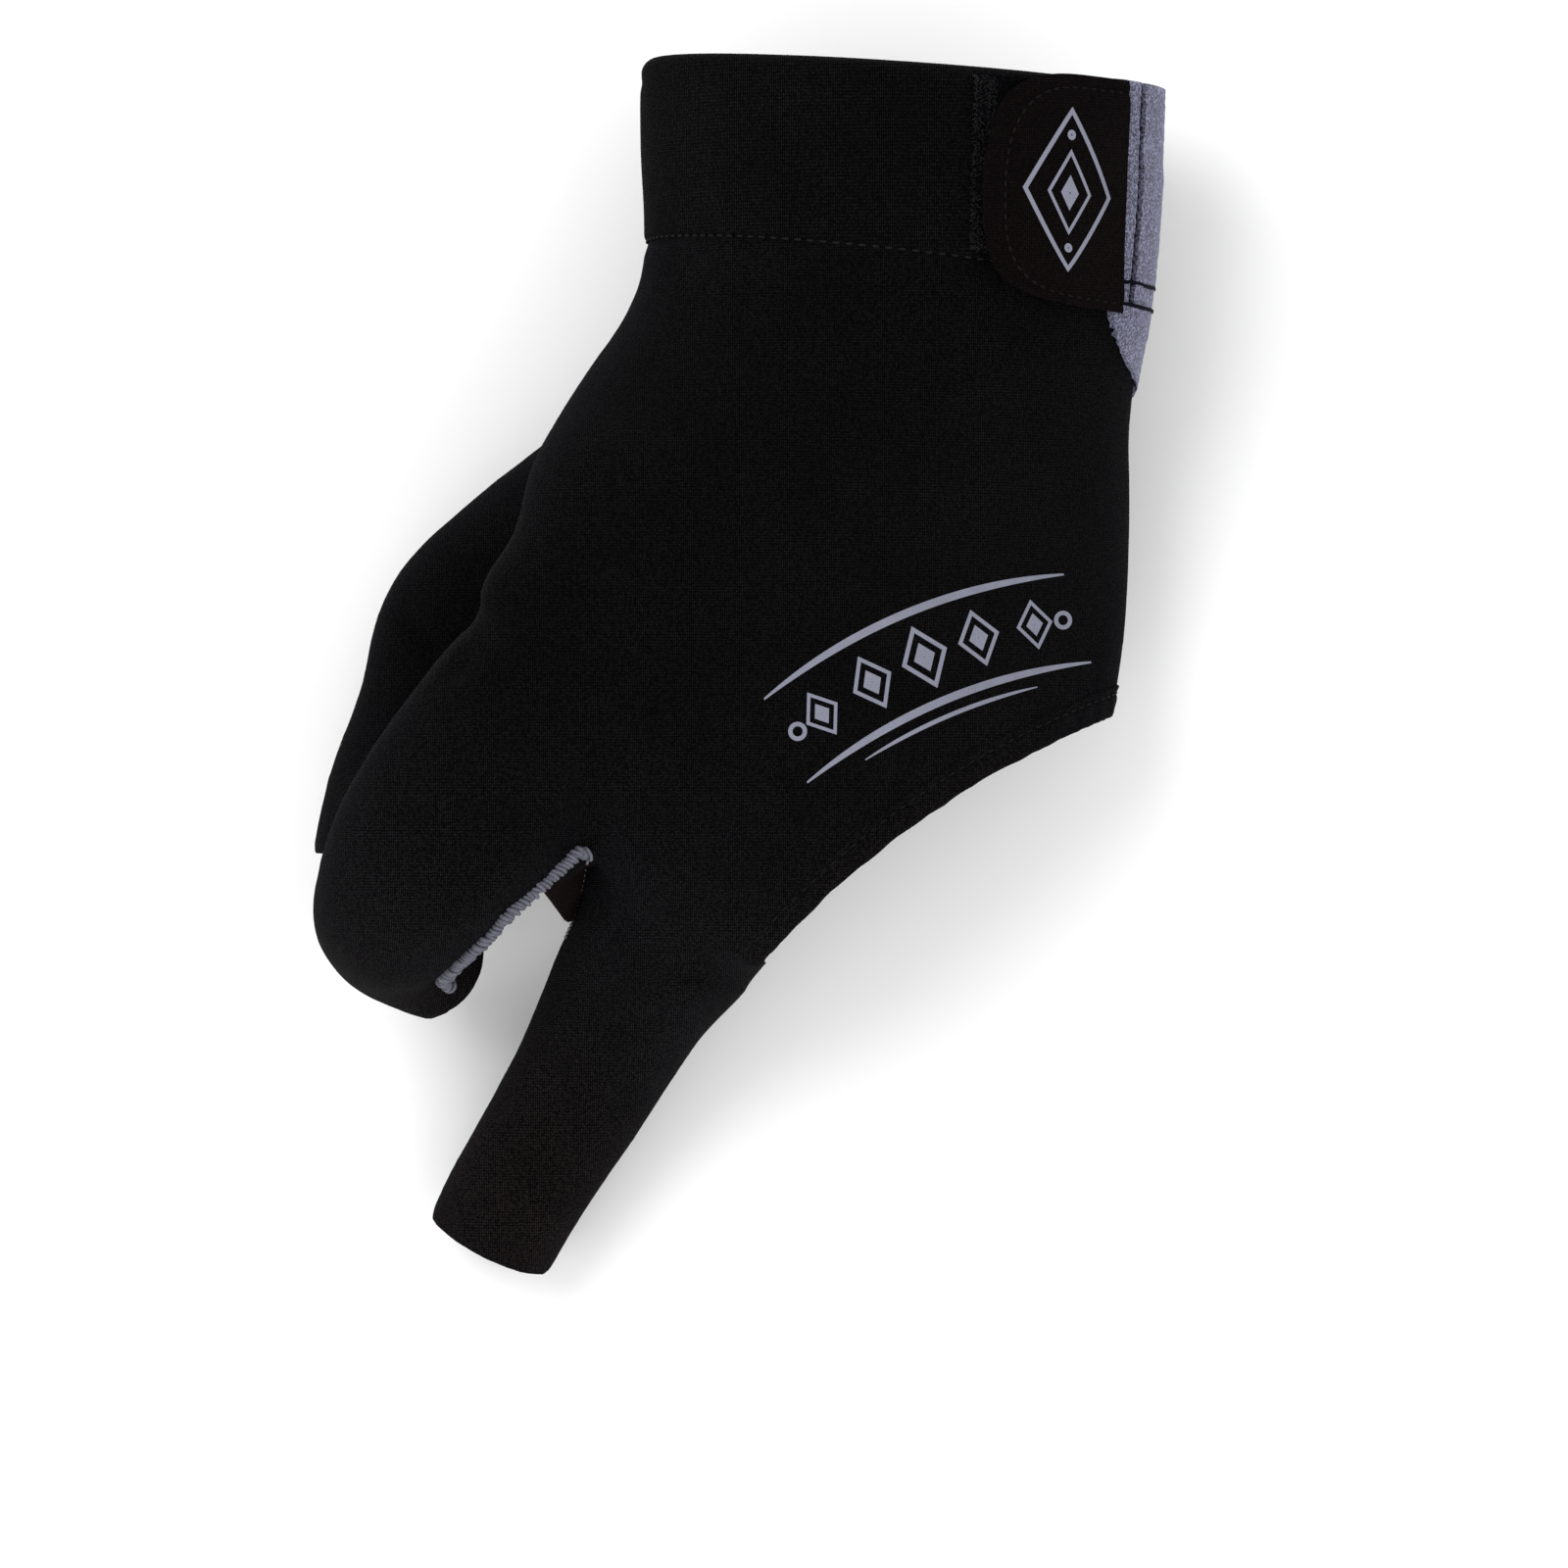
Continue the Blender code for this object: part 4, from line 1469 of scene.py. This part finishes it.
@made_once("materials")
def brushed(name, colour, pile, velvet=0.5):
    """A napped tape or suede: soft blotches, fine pile and a velvety sheen."""
    material, tree, shader, coordinates = new_material(name)
    blotches = noise_in(tree, coordinates["Object"], 700.0, 5.0)
    fibres = noise_in(tree, coordinates["Object"], 1.0 / pile, 3.0)
    grains = calculate(tree, "MULTIPLY", sharpen(tree, fibres, 8.0), 0.8)
    both = calculate(tree, "MULTIPLY_ADD", blotches, 0.45, grains)
    factor = calculate(tree, "MULTIPLY", both, 0.9)
    feed(tree, shader, {
        "Base Color": blend_colours(tree, factor, scaled(colour, 0.06), scaled(colour, 2.1)),
        "Roughness": 0.95,
        "Normal": bumped(tree, both, 0.9, 0.0004),
        "Sheen Weight": velvet,
        "Sheen Tint": (0.75, 0.75, 0.95, 1.0),
        "Sheen Roughness": 0.45,
        "Specular IOR Level": 0.3 * velvet,
    })
    return material


# Sheen of each knit: its weight, its tint and its roughness
SKIN_SHEEN = (0.009, (0.6, 0.6, 0.9), 0.35)
CUFF_SHEEN = (0.009, (0.7, 0.62, 0.7), 0.4)
TAB_SHEEN = (0.010, (0.7, 0.6, 0.65), 0.4)
LINING_SHEEN = (0.02, (0.6, 0.5, 0.5), 0.4)


def knit_fabric(context):
    colour, pitch = tuple(context.scene.glove_colours.knit), context.scene.glove_sizes.knit_pitch
    return knitted("stretch_knit", colour, pitch, SKIN_SHEEN)


def cuff_fabric(context):
    colour, pitch = tuple(context.scene.glove_colours.knit), context.scene.glove_sizes.knit_pitch
    return knitted("cuff_knit", colour, pitch * 1.2, CUFF_SHEEN)


# The tab's knit has painted loop highlights up to 17 times its colour, and the lining's up to 2.8 times
def tab_fabric():
    return knitted("tab_knit", (0.0016, 0.0012, 0.0013), 0.0005, TAB_SHEEN, 17.0, 0.85)


def lining_fabric():
    return knitted("lining_knit", (0.0075, 0.0045, 0.0045), 0.0006, LINING_SHEEN, 2.8, 0.9)


@made_once("materials")
def thread_material(name, colour, gloss):
    """A twisted thread: fine strands and a little gloss."""
    material, tree, shader, coordinates = new_material(name)
    strands = noise_in(tree, coordinates["Object"], 2600.0)
    feed(tree, shader, {
        "Base Color": blend_colours(tree, strands, scaled(colour, 0.4), scaled(colour, 1.5)),
        "Roughness": 0.65,
        "Normal": bumped(tree, strands, 0.7, 0.0001),
        "Specular IOR Level": gloss,
        "Sheen Weight": gloss / 4,
    })
    return material


# Each plain thread's colour and gloss
THREADS = {
    "cuff_thread": ((0.0095, 0.009, 0.0095), 0.05),
    "tab_thread": ((0.0062, 0.0046, 0.0046), 0.05),
    "hem_thread": ((0.0055, 0.0053, 0.0055), 0.05),
    "fine_thread": ((0.16, 0.15, 0.17), 0.05),
    "loop_thread": ((0.010, 0.010, 0.011), 0.12),
    "dark_thread": ((0.0012, 0.0012, 0.0050), 0.02),
}


def sewing_thread(name):
    return thread_material(name, *THREADS[name])


@made_once("materials")
def transfer_film(name, colour, pitch):
    """The heat-pressed print: a thin satin film that lets the knit show through it."""
    material, tree, shader, coordinates = new_material(name)
    knit = add_knit(tree, coordinates, pitch)
    wear = noise_in(tree, coordinates["Object"], 420.0, 6.0, 0.7)
    feed(tree, shader, {
        "Base Color": blend_colours(tree, wear, colour, scaled(colour, 1.7)),
        "Metallic": 0.35,
        "Roughness": calculate(tree, "MULTIPLY_ADD", wear, 0.25, 0.22),
        "Normal": bumped(tree, knit["Height"], 0.25, 0.0001),
    })
    return material


def print_film(context):
    colour = tuple(context.scene.glove_colours.transfer)
    return transfer_film("transfer_film", colour, context.scene.glove_sizes.knit_pitch)


# The studio


# What the picture spans, its middle, and the height of the back of the hand
VIEW_WIDTH = 0.2162
VIEW_CENTRE = (-0.0157, -0.0989)
BACK_HEIGHT = 0.010
FLOOR_DROP = 0.0005
# Name, place, size and power of each light
SOFT_LIGHTS = (
    ("key_light", (-0.55, 0.35, 1.0), 0.7, 6.5),
    ("fill_light", (0.75, -0.3, 0.9), 1.1, 2.5),
    ("low_light", (-0.5, -0.8, 0.5), 0.8, 2.0),
)


class GLOVE_OT_stage(bpy.types.Operator):
    """Sets the glove over a pale floor with soft lights and a camera above it"""

    bl_idname = "glove.stage"
    bl_label = "Studio"

    def execute(self, context):
        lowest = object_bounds()[0][2]
        bm = bmesh.new()
        bmesh.ops.create_grid(bm, x_segments=1, y_segments=1, size=3.0)
        bmesh.ops.translate(bm, verts=bm.verts, vec=(0, 0, lowest - FLOOR_DROP))
        material, tree, shader, _ = new_material("pale_floor")
        feed(tree, shader, {"Base Color": (0.93, 0.93, 0.93, 1.0), "Roughness": 0.85})
        floor = new_piece("floor", bm, material)
        floor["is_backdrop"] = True
        for light in SOFT_LIGHTS:
            add_soft_light(*light)
        world = bpy.data.worlds.new("studio")
        world.use_nodes = True
        background = world.node_tree.nodes["Background"]
        feed(world.node_tree, background, {"Color": (1.0, 1.0, 1.0, 1.0), "Strength": 0.9})
        context.scene.world = world
        context.scene.view_settings.view_transform = "Standard"
        height = context.scene.glove_sizes.camera_height
        lens = bpy.data.cameras.new("camera")
        lens.sensor_width = 36.0
        lens.lens = lens.sensor_width * height / VIEW_WIDTH
        camera = bpy.data.objects.new("camera", lens)
        camera.location = (*VIEW_CENTRE, height + BACK_HEIGHT)
        context.scene.collection.objects.link(camera)
        context.scene.camera = camera
        return {"FINISHED"}


def add_soft_light(name, location, size, power):
    light = bpy.data.lights.new(name, "AREA")
    light.shape = "DISK"
    light.size = size
    light.energy = power
    lamp = bpy.data.objects.new(name, light)
    lamp.location = location
    towards = Vector((*VIEW_CENTRE, 0.0)) - Vector(location)
    lamp.rotation_euler = towards.to_track_quat("-Z", "Y").to_euler()
    bpy.context.scene.collection.objects.link(lamp)


PIECE_OPERATORS = [
    GLOVE_OT_stretch_shell,
    GLOVE_OT_knuckle_hem,
    GLOVE_OT_wrist_cuff,
    GLOVE_OT_loop_patch,
    GLOVE_OT_closure_tab,
    GLOVE_OT_bindings,
    GLOVE_OT_finger_overlock,
    GLOVE_OT_back_print,
    GLOVE_OT_stage,
]


class GLOVE_PT_panel(bpy.types.Panel):
    """Lists the glove's sizes, colours and steps in the sidebar"""

    bl_idname = "GLOVE_PT_panel"
    bl_label = "Billiard Glove"
    bl_space_type = "VIEW_3D"
    bl_region_type = "UI"
    bl_category = "Glove"

    def draw(self, context):
        layout = self.layout
        for group in (context.scene.glove_sizes, context.scene.glove_colours):
            for name in group.bl_rna.properties.keys():
                if name not in ("name", "rna_type"):
                    layout.prop(group, name)
        for operator in PIECE_OPERATORS:
            layout.operator(operator.bl_idname)


CLASSES = [GloveSizes, GloveColours, *PIECE_OPERATORS, GLOVE_PT_panel]


def register():
    for cls in CLASSES:
        bpy.utils.register_class(cls)
    bpy.types.Scene.glove_sizes = bpy.props.PointerProperty(type=GloveSizes)
    bpy.types.Scene.glove_colours = bpy.props.PointerProperty(type=GloveColours)


def unregister():
    del bpy.types.Scene.glove_colours
    del bpy.types.Scene.glove_sizes
    for cls in reversed(CLASSES):
        bpy.utils.unregister_class(cls)


def main():
    register()
    bpy.ops.glove.stretch_shell()
    bpy.ops.glove.knuckle_hem()
    bpy.ops.glove.wrist_cuff()
    bpy.ops.glove.loop_patch()
    bpy.ops.glove.closure_tab()
    bpy.ops.glove.bindings()
    bpy.ops.glove.finger_overlock()
    bpy.ops.glove.back_print()
    bpy.ops.glove.stage()


if __name__ == "__main__":
    main()
